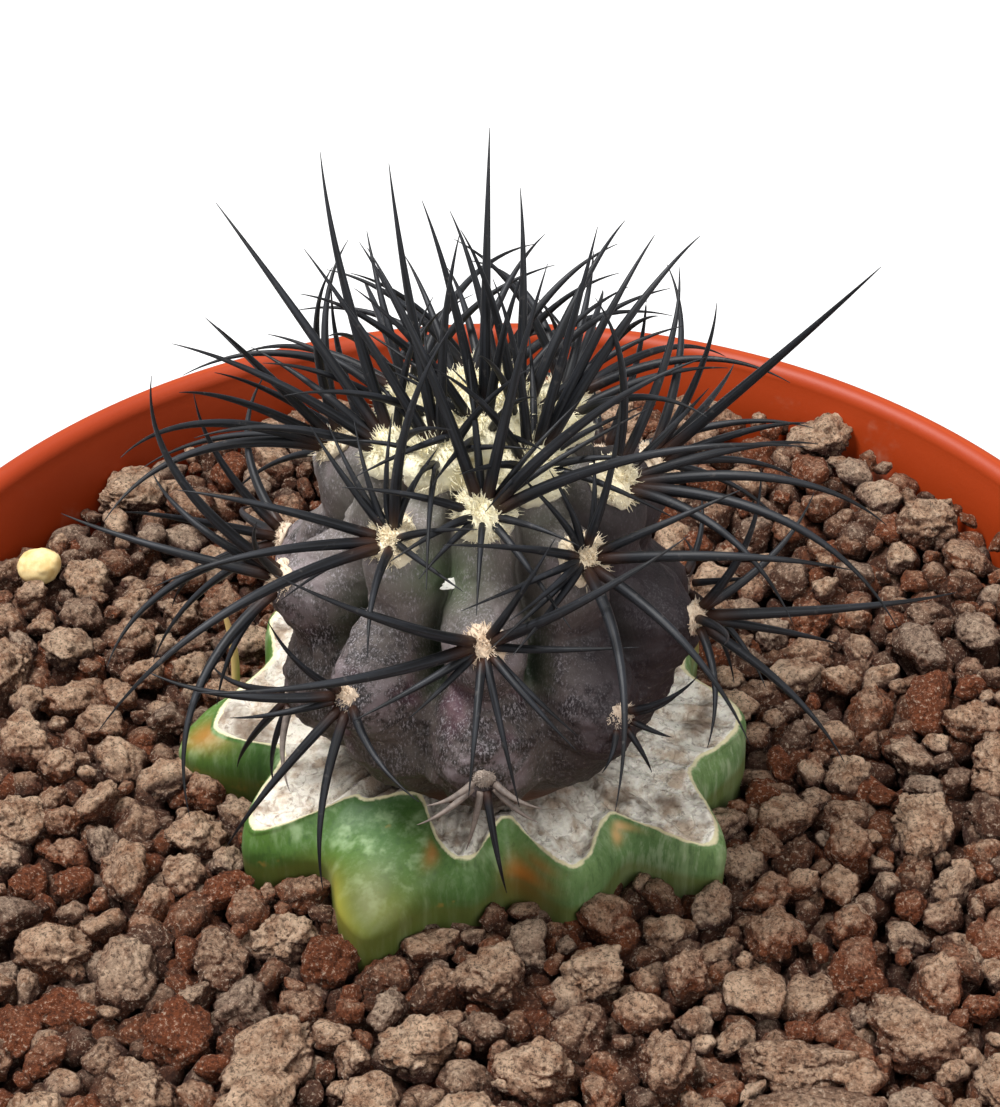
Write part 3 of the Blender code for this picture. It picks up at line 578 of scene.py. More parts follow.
def makeLavaMaterial():
    # Red-brown lava under pale dust, with pores and glints. The pale colour lies on faces that look up and on
    # higher grains, partly dust and partly painted top light; the pores and the gaps between crumbs are
    # darkened as painted shade, the glints are painted highlights, and grains low in the gaps are darkened as
    # painted shade
    material, tree, shader = startMaterial("lavaStone", 0.9, 0.25)
    point = objectPoint(tree)
    tone = readOf(tree, "tone")
    over = readOf(tree, "over")
    facing = addNode(tree, "NewGeometry", {}).outputs["Normal"]
    upward = addNode(tree, "SeparateXYZ", {"Vector": facing}).outputs["Z"]
    cells = {"Vector": point, "Scale": 1150.0, "Randomness": 1.0}
    crumb = addNode(tree, "TexVoronoi", cells).outputs["Distance"]
    second = mathOf(tree, "FRACT", mathOf(tree, "MULTIPLY", tone, 7.31))
    lava = mixOf(tree, rangeOf(tree, tone, 0.15, 0.9), shade(104, 62, 42), shade(156, 88, 52))
    lava = mixOf(tree, rangeOf(tree, second, 0.55, 0.85, 0, 0.6), lava, shade(104, 76, 72))
    lava, patch = mottleOf(tree, point, 420, 5, 0.7, 0.35, 0.7, 1.0, lava, shade(88, 60, 46))
    lava = mixOf(tree, rangeOf(tree, tone, 0.84, 0.90), lava, shade(138, 74, 42))
    dust = mixOf(tree, rangeOf(tree, patch, 0.35, 0.68), shade(252, 216, 182), shade(178, 130, 98))
    dust = mixOf(tree, rangeOf(tree, tone, 0.0, 0.35, 0.6, 0), dust, shade(160, 144, 130))
    # The pale colour gathers on faces that look up and on higher grains: partly dust, partly painted top
    # light
    raised = rangeOf(tree, over, -0.0048, 0.0007, -0.5, 0.20)
    dustAndTopLight = mathOf(tree, "ADD", mathOf(tree, "MULTIPLY", upward, 0.60), raised)
    dustAndTopLight = mathOf(tree, "ADD", dustAndTopLight, mathOf(tree, "MULTIPLY", mathOf(tree, "SUBTRACT", patch, 0.5), 0.9))
    dustAndTopLight = mathOf(tree, "SUBTRACT", dustAndTopLight, rangeOf(tree, tone, 0.86, 0.92, 0, 0.5))
    dustAndTopLight = mathOf(tree, "ADD", dustAndTopLight, mathOf(tree, "MULTIPLY", mathOf(tree, "SUBTRACT", second, 0.62), 0.6))
    colour = mixOf(tree, rangeOf(tree, dustAndTopLight, 0.0, 0.7, 0, 0.92), lava, dust)
    # Darker between the crumbs and in the pores: painted shade in the pits
    colour = mixOf(tree, rangeOf(tree, crumb, 0.50, 0.75, 0, 0.3), colour, shade(70, 42, 30))
    colour, speck = mottleOf(tree, point, 2400, 5, 0.8, 0.51, 0.60, 0.75, colour, shade(52, 34, 26))
    # Pale flecks where the pore noise is lowest: painted glints
    colour = mixOf(tree, rangeOf(tree, speck, 0.45, 0.37, 0, 0.65), colour, shade(244, 220, 194))
    # Darker the deeper a grain lies below the grit's surface: painted shade in the gaps
    colour = mixOf(tree, rangeOf(tree, over, -0.0020, -0.0058, 0, 0.75), colour, shade(62, 30, 18))
    tree.links.new(colour, shader.inputs["Base Color"])
    crumbs = mathOf(tree, "MULTIPLY", rangeOf(tree, crumb, 0.62, 0.05, 0, 0.9), 0.45)
    pores = mathOf(tree, "MULTIPLY", speck, -1.3)
    rough = mathOf(tree, "ADD", crumbs, mathOf(tree, "ADD", pores, patch))
    tree.links.new(bumpOf(tree, rough, 1.0, 0.0009), shader.inputs["Normal"])
    return material


def buildGrit():
    # Large grains stand where the table says. The rest are dropped at random, coarse sizes first, and one is
    # kept where it clears the wall, the rootstock, the pebble and the grains before it
    chance = np.random.default_rng(gritSetting["seed"])
    lava = makeLavaMaterial()
    wall = potInside(place["grit"])
    large = np.array(largeGrains)
    spots = [(x / 1000, y / 1000, r / 1000 * gritSetting["largeShare"]) for x, y, r in large[:, :3]]
    low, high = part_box("cream_pebble")
    pebbleAt = (np.array(low) + np.array(high)) / 2
    pebbleAt[2] += gritRise(pebbleAt[0], pebbleAt[1]) + pebbleSetting["lift"]
    for low, high, tries in gritSetting["sizes"]:
        for _ in range(tries):
            radius = chance.uniform(low, high) / 1000
            away = np.sqrt(chance.uniform(0, 1)) * (wall - 0.9 * radius)
            turn = chance.uniform(0, 2 * np.pi)
            x, y = away * np.sin(turn), -away * np.cos(turn)
            dx, dy = x - place["stockX"], y - place["stockY"]
            edge = outlineRadius(skinOutline, np.degrees(np.arctan2(dx, -dy)))
            if np.hypot(dx, dy) < edge + 0.75 * radius:
                continue
            if np.hypot(x - pebbleAt[0], y - pebbleAt[1]) < pebbleSetting["free"] + 0.8 * radius:
                continue
            placed = np.array(spots)
            apart = np.hypot(placed[:, 0] - x, placed[:, 1] - y)
            if (apart < 0.88 * (placed[:, 2] + radius)).any():
                continue
            spots.append((x, y, radius))
    spots = np.array(spots)
    first = len(large)
    count = len(spots)
    top = chance.uniform(-0.0012, 0.0006, count) + np.clip(spots[:, 2] - 0.0028, -0.0016, 0.0015) * 0.9
    top[:first] = chance.uniform(0.0003, 0.0014, first)
    top += gritRise(spots[:, 0], spots[:, 1])
    centres = np.stack([spots[:, 0], spots[:, 1], place["grit"] + top - 0.75 * spots[:, 2]], -1)
    stretch = [chance.uniform(least, most, count) for least, most in ((1.0, 1.3), (0.82, 1.0), (0.7, 0.95))]
    stretch = np.stack(stretch, -1)
    angles = chance.uniform(-0.5, 0.5, (count, 3))
    angles[:, 2] = chance.uniform(0, 2 * np.pi, count)
    tones = chance.uniform(0, 1, count)
    stretch[:first] = np.stack([large[:, 3] ** 0.6, large[:, 3] ** -0.4, large[:, 5]], -1)
    tilts = [chance.uniform(-0.2, 0.2, first) for _ in range(2)]
    angles[:first] = np.stack([*tilts, np.radians(large[:, 4])], -1)
    tones[:first] = large[:, 6] * 0.8
    bigger = makeGrains(
        "lavaLargeGrains", centres[:first], spots[:first, 2], stretch[:first], angles[:first], tones[:first],
        5, 21, lava,
    )
    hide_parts(*[n for n in sorted(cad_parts) if n.startswith("lava_stone")])
    rest = np.arange(first, count)
    close = spots[rest, 1] < 0.030
    coarse = spots[rest, 2] > gritSetting["coarse"]
    groups = [(rest[close & coarse][i::3], 4) for i in range(3)]
    groups += [(rest[close & ~coarse], 3), (rest[~close], 3)]
    for number, (group, level) in enumerate(groups):
        piece = makeGrains(
            f"lavaGrains{number + 1}", centres[group], spots[group, 2], stretch[group], angles[group],
            tones[group], level, 40 + number, lava,
        )
        print("grains", number + 1, len(group))
    # Lower grains seen in the gaps: a jittered net 5 mm further down
    step = gritSetting["netStep"]
    net = np.stack(np.meshgrid(np.arange(-20, 21), np.arange(-23, 24)), -1).reshape(-1, 2).astype(float)
    net[:, 0] += 0.5 * (net[:, 1] % 2)
    flat = net * [step, step * 0.87] + chance.uniform(-0.0007, 0.0007, (len(net), 2))
    flat = flat[np.hypot(flat[:, 0], flat[:, 1]) < wall - 0.0030]
    count = len(flat)
    lower = place["grit"] - gritSetting["netDepth"] + chance.uniform(-0.0008, 0.0010, count)
    lower = np.column_stack([flat, lower])
    lower[:, 2] += gritRise(lower[:, 0], lower[:, 1])
    for number in range(2):
        group = np.arange(number, count, 2)
        piece = makeGrains(
            f"lavaUnderGrains{number + 1}", lower[group], chance.uniform(0.0018, 0.0026, len(group)),
            np.ones((len(group), 3)) * [1.1, 0.95, 0.85], chance.uniform(0, 6, (len(group), 3)),
            chance.uniform(0, 1, len(group)), 2, 60 + number, lava,
        )
    # Packed grit below, one lumpy body
    sides = gritSetting["coreSides"]
    turn = np.arange(sides) * 2 * np.pi / sides
    floor = gritSetting["coreFloor"]
    coreTop = place["grit"] - gritSetting["coreDepth"]
    rows = [(potInside(floor) - 0.0045, floor), (potInside(floor) - 0.0010, floor + 0.003)]
    for level in np.linspace(0.012, place["grit"] - 0.0075, 12):
        rows.append((potInside(level) - 0.0006, level))
    for share in np.linspace(0.97, 0.05, 26):
        rows.append((potInside(place["grit"]) * share, coreTop))
    rows = np.array(rows)
    rings = np.zeros((len(rows), sides, 3))
    rings[..., 0] = rows[:, 0:1] * np.sin(turn)
    rings[..., 1] = -rows[:, 0:1] * np.cos(turn)
    rings[..., 2] = rows[:, 1:2]
    upper = rings[14:]
    upper[..., 2] += 0.0016 * layeredNoise(upper * 400, 3, 3) + gritRise(upper[..., 0], upper[..., 1])
    over = rings[..., 2] - place["grit"] - gritRise(rings[..., 0], rings[..., 1])
    bed = makeRingPiece(
        "lavaBedCore", rings, (0, 0, floor), (0, 0, coreTop), lava,
        {"tone": np.zeros(rings.shape[:2]) + 0.3, "over": over},
    )
    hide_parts("lava_bed")
    cream, tree, shader = startMaterial("creamStone", 0.6, 0.4)
    pale, tan = shade(236, 214, 158), shade(206, 172, 110)
    colour, _ = mottleOf(tree, objectPoint(tree), 700, 4, 0.6, 0.3, 0.7, 1.0, pale, tan)
    tree.links.new(colour, shader.inputs["Base Color"])
    pebble = makeGrains(
        "creamPebbleStone", pebbleAt[None], np.array([pebbleSetting["radius"]]),
        np.array([pebbleSetting["stretch"]]), np.zeros((1, 3)), np.array([0.5]), 4, 90, cream, 0.25,
    )
    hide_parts("cream_pebble")
    print("grit")


# Latitudes of the areoles on each rib, in degrees, from the crown down
areoleRows = (
    (82, 60, 28, -12), (70, 44, 0), (81, 53, 8), (70, 36, -10), (82, 50, 12), (71, 40, -4), (81, 55, 16),
    (71, 46, 6), (82, 66, 20, -20), (72, 49, 6),
)
bodySetting = {
    "cutDrop": 0.0161, "contact": 0.0122, "lowest": -43.0, "groove": 0.0030, "rise": 0.0011, "spread": 11.0,
    "waist": 0.0034, "chin": 0.0013, "columns": 420,
}


def areoles():
    found = []
    for rib, latitudes in enumerate(areoleRows):
        for row, latitude in enumerate(latitudes):
            found.append((rib, row, rib * 36.0, float(latitude)))
    return found


def bodySkin(bearing, latitude, sharp=6):
    # Ball with grooves between the ribs and a swelling at each areole. Also gives nearness to an areole
    groove = np.abs(np.sin(place["ribs"] / 2 * bearing))
    fade = np.clip(np.cos(latitude), 0.0, 1.0) ** 0.6
    cut = 0.35 * groove ** 2 + 0.65 * groove ** sharp
    radius = place["bodyRadius"] - bodySetting["groove"] * fade * cut
    here = direction(bearing, latitude)
    spread = math.radians(bodySetting["spread"])
    near = np.zeros(np.shape(bearing))
    for _, row, at, height in areoles():
        there = direction(math.radians(at), math.radians(height))
        apart = np.arccos(np.clip(here @ there, -1.0, 1.0))
        swell = np.exp(-((apart / spread) ** 2))
        radius = radius + bodySetting["rise"] * (0.5 if row == 0 else 1.0) * swell
        near = np.maximum(near, swell)
    return radius, near, groove * fade


def seenSkin(bearing, latitude):
    # The body's skin with everything on it: zigzag grooves, sunken waists, chins, slow and fine noise
    out = direction(bearing, latitude)
    # Ribs widen round their areoles, so the grooves run in zigzags
    wander = bearing.copy()
    for _, row, at, height in areoles():
        apart = np.arccos(np.clip(out @ direction(math.radians(at), math.radians(height)), -1, 1))
        aside = (bearing - math.radians(at) + np.pi) % (2 * np.pi) - np.pi
        pull = np.exp(-((apart / math.radians(17)) ** 2)) * (np.abs(aside) < 0.9) * np.cos(latitude)
        wander -= 0.42 * aside * pull
    radius, near, groove = bodySkin(wander, latitude, 10)
    # Low down the grooves run out; higher up the skin sinks between areoles and swells below each one
    filled = np.clip((0.12 - latitude) / 0.55, 0, 0.9)
    radius += bodySetting["groove"] * (0.35 * groove ** 2 + 0.65 * groove ** 10) * filled
    groove = np.abs(np.sin(place["ribs"] / 2 * wander)) * (1 - 0.7 * filled)
    radius -= 0.0013 * groove ** 12 * np.clip(latitude / 0.2, 0, 1) * np.clip((1.15 - latitude) / 0.3, 0, 1)
    wide = np.zeros(radius.shape)
    chin = np.zeros(radius.shape)
    for _, row, at, height in areoles():
        apart = np.arccos(np.clip(out @ direction(math.radians(at), math.radians(height)), -1, 1))
        wide = np.maximum(wide, np.exp(-((apart / math.radians(15.5)) ** 2)))
        apart = np.arccos(np.clip(out @ direction(math.radians(at), math.radians(height - 10)), -1, 1))
        chin = np.maximum(chin, np.exp(-((apart / math.radians(8)) ** 2)) * (row > 0))
    upper = np.clip((latitude + 0.35) / 0.5, 0, 1)
    radius += bodySetting["chin"] * chin - bodySetting["waist"] * (1 - wide) * upper * np.cos(latitude)
    slow = 0.0013 * layeredNoise(out * 6, 4, 3) * np.cos(latitude)
    radius = radius + slow + 0.00022 * layeredNoise(out * 40, 8, 3)
    return radius, near, groove


def makeBodyMaterial():
    # Violet-grey skin under whitish speckles: green near the crown and in the grooves, darkest at the groove
    # bottoms partly as painted shade, magenta in broad patches, lighter towards the top as painted top light,
    # darker on the right as painted shade, brown-grey and scratched low down
    material, tree, shader = startMaterial("cactusSkin", 0.62, 0.35)
    point = objectPoint(tree)
    upright = objectPoint(tree, (1, 1, 0.35))
    groove = readOf(tree, "groove")
    near = readOf(tree, "near")
    level = readOf(tree, "level")
    speck = noiseOf(tree, upright, 5200, 4, 0.75)
    light, dark = shade(90, 81, 77), shade(36, 31, 31)
    skin, patch = mottleOf(tree, point, 480, 4, 0.65, 0.40, 0.60, 1.0, light, dark)
    skin, broad = mottleOf(tree, point, 130, 3, 0.6, 0.53, 0.70, 0.42, skin, shade(114, 74, 90))
    skin = mixOf(tree, rangeOf(tree, broad, 0.44, 0.30, 0, 0.6), skin, shade(92, 90, 86))
    skin = mixOf(tree, rangeOf(tree, level, 0.1, -0.5, 0, 0.7), skin, shade(70, 64, 56))
    young = mathOf(tree, "MULTIPLY", rangeOf(tree, level, 0.45, 0.9), rangeOf(tree, near, 0.2, 0.8, 0.8, 0.3))
    skin = mixOf(tree, mathOf(tree, "MULTIPLY", young, 0.75), skin, shade(70, 100, 62))
    skin = mixOf(tree, rangeOf(tree, groove, 0.80, 0.97, 0, 0.6), skin, shade(72, 80, 58))
    # Darkest at the bottom of each groove: the groove's real green, deepened by painted shade
    skin = mixOf(tree, rangeOf(tree, groove, 0.93, 0.995, 0, 0.9), skin, shade(30, 44, 24))
    # Lighter towards the top: painted top light
    skin = mixOf(tree, rangeOf(tree, level, 0.15, 0.6, 0, 0.5), skin, shade(140, 130, 126))
    pale = mathOf(tree, "MULTIPLY", rangeOf(tree, near, 0.15, 0.8), rangeOf(tree, patch, 0.56, 0.40, 0, 0.45))
    skin = mixOf(tree, pale, skin, shade(148, 134, 140))
    fresh = mathOf(tree, "MULTIPLY", readOf(tree, "leafy"), rangeOf(tree, broad, 0.35, 0.5, 0.2, 0.6))
    skin = mixOf(tree, fresh, skin, shade(76, 108, 58))
    cover = mathOf(tree, "ADD", speck, mathOf(tree, "MULTIPLY", mathOf(tree, "SUBTRACT", patch, 0.5), 0.35))
    farina = rangeOf(tree, cover, 0.50, 0.70, 0, 0.62)
    farina = mathOf(tree, "MULTIPLY", farina, rangeOf(tree, groove, 0.8, 0.98, 1, 0.25))
    farina = mathOf(tree, "MULTIPLY", farina, rangeOf(tree, level, -0.5, 0.1, 0.35, 1))
    skin = mixOf(tree, farina, skin, shade(186, 178, 182))
    # Darker to the right: painted shade on the side away from the light
    skin = mixOf(tree, rangeOf(tree, readOf(tree, "side"), 0.15, 0.65, 0, 0.85), skin, shade(34, 25, 30))
    scratch = noiseOf(tree, objectPoint(tree, (1, 1, 4)), 900, 4, 0.8)
    lower = rangeOf(tree, level, 0.1, -0.4, 0, 0.5)
    scar = mathOf(tree, "MULTIPLY", rangeOf(tree, scratch, 0.60, 0.68), lower)
    skin = mixOf(tree, scar, skin, shade(176, 168, 158))
    skin = mixOf(tree, rangeOf(tree, level, -0.66, -0.74), skin, shade(74, 50, 36))
    tree.links.new(skin, shader.inputs["Base Color"])
    rough = mathOf(tree, "ADD", speck, mathOf(tree, "MULTIPLY", patch, 1.5))
    tree.links.new(bumpOf(tree, rough, 0.35, 0.0002), shader.inputs["Normal"])
    return material


def buildBody():
    # Rings of the skin at rising latitudes, closed below by a flat cut where the body sits on the rootstock
    columns = bodySetting["columns"]
    bearing = np.arange(columns) * 2 * np.pi / columns
    latitude = np.concatenate([np.linspace(bodySetting["lowest"], 60, 150), np.linspace(61, 89, 40)])
    latitude = np.radians(latitude)
    grid = np.meshgrid(bearing, latitude)
    out = direction(grid[0], grid[1])
    radius, near, groove = seenSkin(grid[0], grid[1])
    skin = place["bodyCentre"] + out * radius[..., None]
    base = np.stack([np.sin(bearing), -np.cos(bearing), 0 * bearing], -1)
    side = out[..., 0]
    leafy = np.arccos(np.clip(out @ direction(math.radians(-15), math.radians(44)), -1, 1))
    leafy = np.exp(-((leafy / math.radians(9)) ** 2))
    under = []
    for part in np.linspace(0.3, 1, 8):
        width = bodySetting["contact"] * min(part * 1.2, 1.0)
        under.append(place["bodyCentre"] + base * width - [0, 0, bodySetting["cutDrop"] - 0.0001])
    foot = under[-1]
    for part in (0.25, 0.5, 0.75):
        under.append(foot + (skin[0] - foot) * part)
    rings = np.concatenate([np.array(under), skin])
    level = (rings[..., 2] - place["bodyCentre"][2]) / place["bodyRadius"]
    extra = len(under)
    near = np.concatenate([np.zeros((extra, columns)), near])
    groove = np.concatenate([np.repeat(groove[:1], extra, 0), groove])
    side = np.concatenate([np.repeat(side[:1], extra, 0), side])
    leafy = np.concatenate([np.zeros((extra, columns)), leafy])
    crown = place["bodyCentre"] + [0, 0, rings[-1, :, 2].mean() - place["bodyCentre"][2]]
    low = place["bodyCentre"] - [0, 0, bodySetting["cutDrop"] - 0.0001]
    body = makeRingPiece(
        "cactusBodySkin", rings, low, crown, makeBodyMaterial(),
        {"near": near, "groove": groove, "level": level, "side": side, "leafy": leafy},
    )
    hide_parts("cactus_body")
    print("body")


# A spine is turn, lift and length. Turn 0 points to the crown and 90 to the right, lift is above the skin,
# and the length is in millimetres
crownTuft = ((110, 34, 17), (180, 30, 15), (250, 34, 17))
shoulderTuft = (
    (0, 30, 12), (50, 26, 17), (100, 24, 20), (150, 26, 18), (205, 28, 19), (255, 24, 20), (310, 26, 17),
)
middleTuft = (
    (0, 34, 16), (55, 28, 17), (100, 24, 21), (145, 32, 17), (185, 40, 18), (235, 26, 19), (285, 26, 20),
)
lowTuft = (
    (60, 22, 10), (105, 24, 12), (160, 30, 13), (205, 30, 11), (250, 22, 12), (310, 20, 8),
)
ownTufts = {
    (0, 0): ((12, 60, 26), (-30, 62, 21), (75, 55, 17), (-85, 50, 17), (150, 45, 12)),
    (0, 1): (
        (20, 50, 23), (-28, 45, 24), (70, 42, 25), (90, 28, 29), (-75, 26, 12), (-125, 24, 9),
        (135, 24, 9),
    ),
    (0, 2): (
        (-64, 28, 20), (-93, 26, 25), (56, 24, 21), (30, 24, 12), (186, 28, 12), (135, 24, 11),
        (-130, 28, 8),
    ),
    (0, 3): ((-165, 30, 6), (167, 36, 10), (-115, 24, 6), (-80, 34, 5), (120, 26, 5), (85, 34, 5)),
    (1, 0): ((42, 62, 22), (62, 46, 22), (88, 44, 24), (-60, 50, 16), (140, 35, 10), (-10, 60, 18)),
    (1, 1): (
        (122, 34, 22), (176, 28, 21), (-149, 20, 23), (90, 42, 14), (-67, 16, 15), (-99, 14, 12),
        (20, 40, 14),
    ),
    (1, 2): ((35, 34, 8), (70, 24, 4), (120, 40, 4), (-130, 24, 4), (165, 30, 5)),
    (2, 0): ((60, 55, 20), (100, 40, 20), (0, 66, 19), (150, 40, 16), (-70, 50, 14)),
    (2, 1): (
        (172, 34, 23), (-165, 26, 27), (-140, 22, 20), (140, 42, 18), (110, 28, 12), (60, 40, 19),
        (0, 46, 18),
    ),
    (2, 2): (
        (110, 58, 25), (135, 40, 16), (-115, 14, 12), (-155, 50, 18), (15, 22, 15), (60, 34, 15),
        (-60, 24, 13),
    ),
    (3, 1): ((-45, 58, 31), (-85, 55, 16), (5, 56, 16), (60, 40, 18), (120, 40, 16), (180, 34, 15)),
    (7, 1): (
        (53, 62, 18), (85, 52, 18), (108, 40, 21), (128, 27, 22), (-134, 50, 19), (0, 45, 18),
        (-60, 40, 18),
    ),
    (8, 1): (
        (-155, 55, 21), (-99, 50, 26), (-60, 56, 26), (-178, 40, 17), (-120, 30, 15), (-25, 40, 13),
        (60, 30, 12),
    ),
    (8, 2): (
        (-20, 42, 22), (-58, 36, 19), (-106, 54, 21), (134, 20, 22), (165, 14, 12), (-90, 30, 17),
        (30, 30, 12),
    ),
    (8, 3): ((-100, 30, 12), (-150, 30, 13), (175, 30, 9), (120, 24, 8)),
    (9, 0): ((-34, 60, 26), (-72, 50, 21), (0, 64, 21), (150, 40, 10), (80, 40, 13)),
    (9, 1): (
        (-138, 36, 20), (-160, 26, 29), (-108, 40, 18), (8, 32, 20), (140, 20, 13), (-56, 36, 11),
        (70, 24, 10),
    ),
    (9, 2): ((-82, 36, 17), (-112, 28, 10), (-158, 33, 17), (162, 30, 16), (100, 22, 12), (-30, 26, 10)),
}
spineSetting = {
    "pad": 0.0017, "padHeight": 0.0011, "radius": 0.00052, "gap": 0.00045, "gritLumps": 0.0007,
    "clearance": 0.0003, "arch": 0.36, "thinnest": 0.00026, "thickest": 0.00056, "tip": 0.00003,
}
bristleSetting = {"ribs": (0, 1, 9), "count": 6, "above": 25}
woolSetting = {
    "crownSize": 0.0034, "latitudes": (-20, 0, 40, 66), "sizes": (0.0008, 0.0014, 0.0022, 0.0029),
    "swell": 0.32, "youngFibres": 700, "oldFibres": 520, "shortest": 0.14, "longest": 0.38,
    "columns": 40, "rows": 14,
}


def tuftFor(rib, row, latitude):
    if (rib, row) in ownTufts:
        return ownTufts[rib, row]
    if row == 0:
        return crownTuft
    if latitude > 30:
        return shoulderTuft
    return middleTuft if latitude > -4 else lowTuft


def areoleFrame(bearing, latitude):
    # A pad's base, set just clear of the skin round it, with its outward, upward and right directions
    side, height = math.radians(bearing), math.radians(latitude)
    outward = direction(side, height)
    right = np.array([np.cos(side), np.sin(side), 0.0])
    upward = np.cross(outward, right)
    reach = 1.3 * spineSetting["pad"] / place["bodyRadius"]
    around = np.linspace(0, 2 * np.pi, 12, endpoint=False)
    lifts = height + reach * np.cos(around)
    sides = side + reach * np.sin(around) / max(np.cos(height), 0.25)
    rim = direction(sides, lifts) * bodySkin(sides, lifts)[0][:, None]
    middle = outward * bodySkin(np.array([side]), np.array([height]))[0][0]
    highest = max((rim @ outward).max(), middle @ outward)
    return place["bodyCentre"] + outward * (highest + spineSetting["clearance"]), outward, upward, right


def spinePoints(start, axes, turn, lift, length, count):
    # A straight line that bows outwards by a parabola
    _, outward, upward, right = axes
    flat = upward * np.cos(math.radians(turn)) + right * np.sin(math.radians(turn))
    straight = outward * np.sin(math.radians(lift)) + flat * np.cos(math.radians(lift))
    bend = outward * 0.17 - flat * 0.04
    part = np.linspace(0.0, 1.0, count)[:, None]
    return start + length * (straight * part + bend * 4 * part * (1 - part) * 0.5)


def spineRoot(axes, item):
    base, outward, upward, right = axes
    turn, lift, _ = item
    flat = upward * np.cos(math.radians(turn)) + right * np.sin(math.radians(turn))
    out = 0.75 * spineSetting["pad"] * np.cos(math.radians(lift))
    return base + outward * 0.6 * spineSetting["padHeight"] + flat * out


def isClear(points, others):
    # True where a spine clears the grit, the rootstock, the skin and the spines before it
    away = points[4:]
    dx, dy = away[:, 0] - place["stockX"], away[:, 1] - place["stockY"]
    radius = np.hypot(dx, dy)
    bearing = np.degrees(np.arctan2(dx, -dy))
    inside = radius < outlineRadius(skinOutline, bearing) + 4 * spineSetting["radius"]
    ground = np.where(inside, faceHeight(radius), spineSetting["gritLumps"]) + place["grit"]
    if (away[:, 2] < ground + 2 * spineSetting["radius"]).any():
        return False
    out = away - place["bodyCentre"]
    distance = np.linalg.norm(out, axis=1)
    latitude = np.arcsin(out[:, 2] / distance)
    skin = bodySkin(np.arctan2(out[:, 0], -out[:, 1]), latitude)[0]
    if (distance < skin + spineSetting["radius"] + spineSetting["gap"]).any():
        return False
    apart = np.linalg.norm(points[:, None, :] - others[None, :, :], axis=2)
    return apart.min() > 2 * spineSetting["radius"] + spineSetting["gap"]


def settleSpine(axes, turn, lift, length, others):
    nudges = [(a, b) for a in range(-40, 41, 5) for b in range(-20, 41, 5)]
    nudges.sort(key=lambda s: (abs(s[0]) + abs(s[1]), s))
    for shorter in (1.0, 0.8, 0.6):
        for moreTurn, moreLift in nudges:
            item = (turn + moreTurn, min(lift + moreLift, 85), length * shorter)
            if isClear(spinePoints(spineRoot(axes, item), axes, *item, 16), others):
                return item
    return None


def layOutSpines():
    # Same rule as the frame's: each spine takes its own way, or the nearest one that is clear
    pads = {(rib, row): areoleFrame(bearing, latitude) for rib, row, bearing, latitude in areoles()}
    order = sorted(areoles(), key=lambda a: ((a[0], a[1]) not in ownTufts, a[3]))
    placed, tufts = [], {}
    for rib, row, bearing, latitude in order:
        axes = pads[rib, row]
        others = list(placed)
        for key, (base, outward, _, _) in pads.items():
            if key != (rib, row):
                others.append(base + outward * np.linspace(0, spineSetting["padHeight"], 2)[:, None])
        others = np.concatenate(others)
        own = []
        for turn, lift, length in tuftFor(rib, row, latitude):
            settled = settleSpine(axes, turn, lift, length / 1000, others)
            if settled:
                own.append(settled)
        placed += [spinePoints(spineRoot(axes, item), axes, *item, 16) for item in own]
        tufts[rib, row] = (axes, own, latitude)
    return tufts


def tubes(paths, radii, sides):
    # A circle of the given radius carried along each path, closed by a point at the base and at the tip
    count, steps = paths.shape[:2]
    along = np.gradient(paths, axis=1)
    along /= np.linalg.norm(along, axis=-1, keepdims=True)
    guide = np.where(np.abs(along[:, :1, 2:3]) < 0.8, [0.0, 0.0, 1.0], [1.0, 0.0, 0.0])
    side = np.cross(along, guide)
    side /= np.linalg.norm(side, axis=-1, keepdims=True)
    other = np.cross(along, side)
    turn = np.arange(sides) * 2 * np.pi / sides
    spoke = side[:, :, None] * np.cos(turn)[:, None] + other[:, :, None] * np.sin(turn)[:, None]
    rings = paths[:, :, None] + spoke * radii[:, :, None, None]
    tips = paths[:, -1:] + along[:, -1:] * radii[:, -1:, None]
    points = np.concatenate([rings.reshape(count, -1, 3), paths[:, :1], tips], 1)
    each = steps * sides + 2
    quads = ringFaces(steps, sides)
    last = steps * sides
    caps = [capFaces(0, sides, last, False), capFaces(steps - 1, sides, last + 1, True)]
    caps = np.concatenate(caps)
    shift = (np.arange(count) * each)[:, None, None]
    part = np.concatenate([np.repeat(np.linspace(0, 1, steps), sides), [0.0], [1.0]])
    around = np.concatenate([np.tile(np.arange(sides) / sides, steps), [0.5], [0.5]])
    uv = np.stack([np.tile(around, count), np.tile(part, count)], -1)
    faces = [(quads[None] + shift).reshape(-1, 4), (caps[None] + shift).reshape(-1, 3)]
    return points.reshape(-1, 3), faces, uv


def makeSpineMaterial():
    # Charcoal spine: fine lengthwise streaks of grey, brown at the root, a soft blue-grey sheen
    material, tree, shader = startMaterial("spine", 0.5, 0.28)
    middle = addNode(tree, "UVMap", {}, uv_map="UVMap").outputs[0]
    along = addNode(tree, "SeparateXYZ", {"Vector": middle}).outputs["Y"]
    drawn = addNode(tree, "Mapping", {"Vector": middle, "Scale": (14, 3, 1)}).outputs[0]
    streak = noiseOf(tree, drawn, 1.0, 3, 0.6)
    colour = mixOf(tree, rangeOf(tree, streak, 0.35, 0.7), shade(12, 12, 14), shade(38, 40, 45))
    grey = shade(72, 68, 66)
    colour, fleck = mottleOf(tree, objectPoint(tree), 1400, 3, 0.6, 0.62, 0.72, 0.5, colour, grey)
    colour = mixOf(tree, rangeOf(tree, along, 0.14, 0.0, 0, 0.6), colour, shade(70, 42, 28))
    faded = mathOf(tree, "MULTIPLY", readOf(tree, "old"), rangeOf(tree, fleck, 0.3, 0.6, 0.6, 1))
    colour = mixOf(tree, faded, colour, shade(150, 136, 126))
    tree.links.new(colour, shader.inputs["Base Color"])
    tree.links.new(bumpOf(tree, streak, 0.4, 0.0001), shader.inputs["Normal"])
    return material


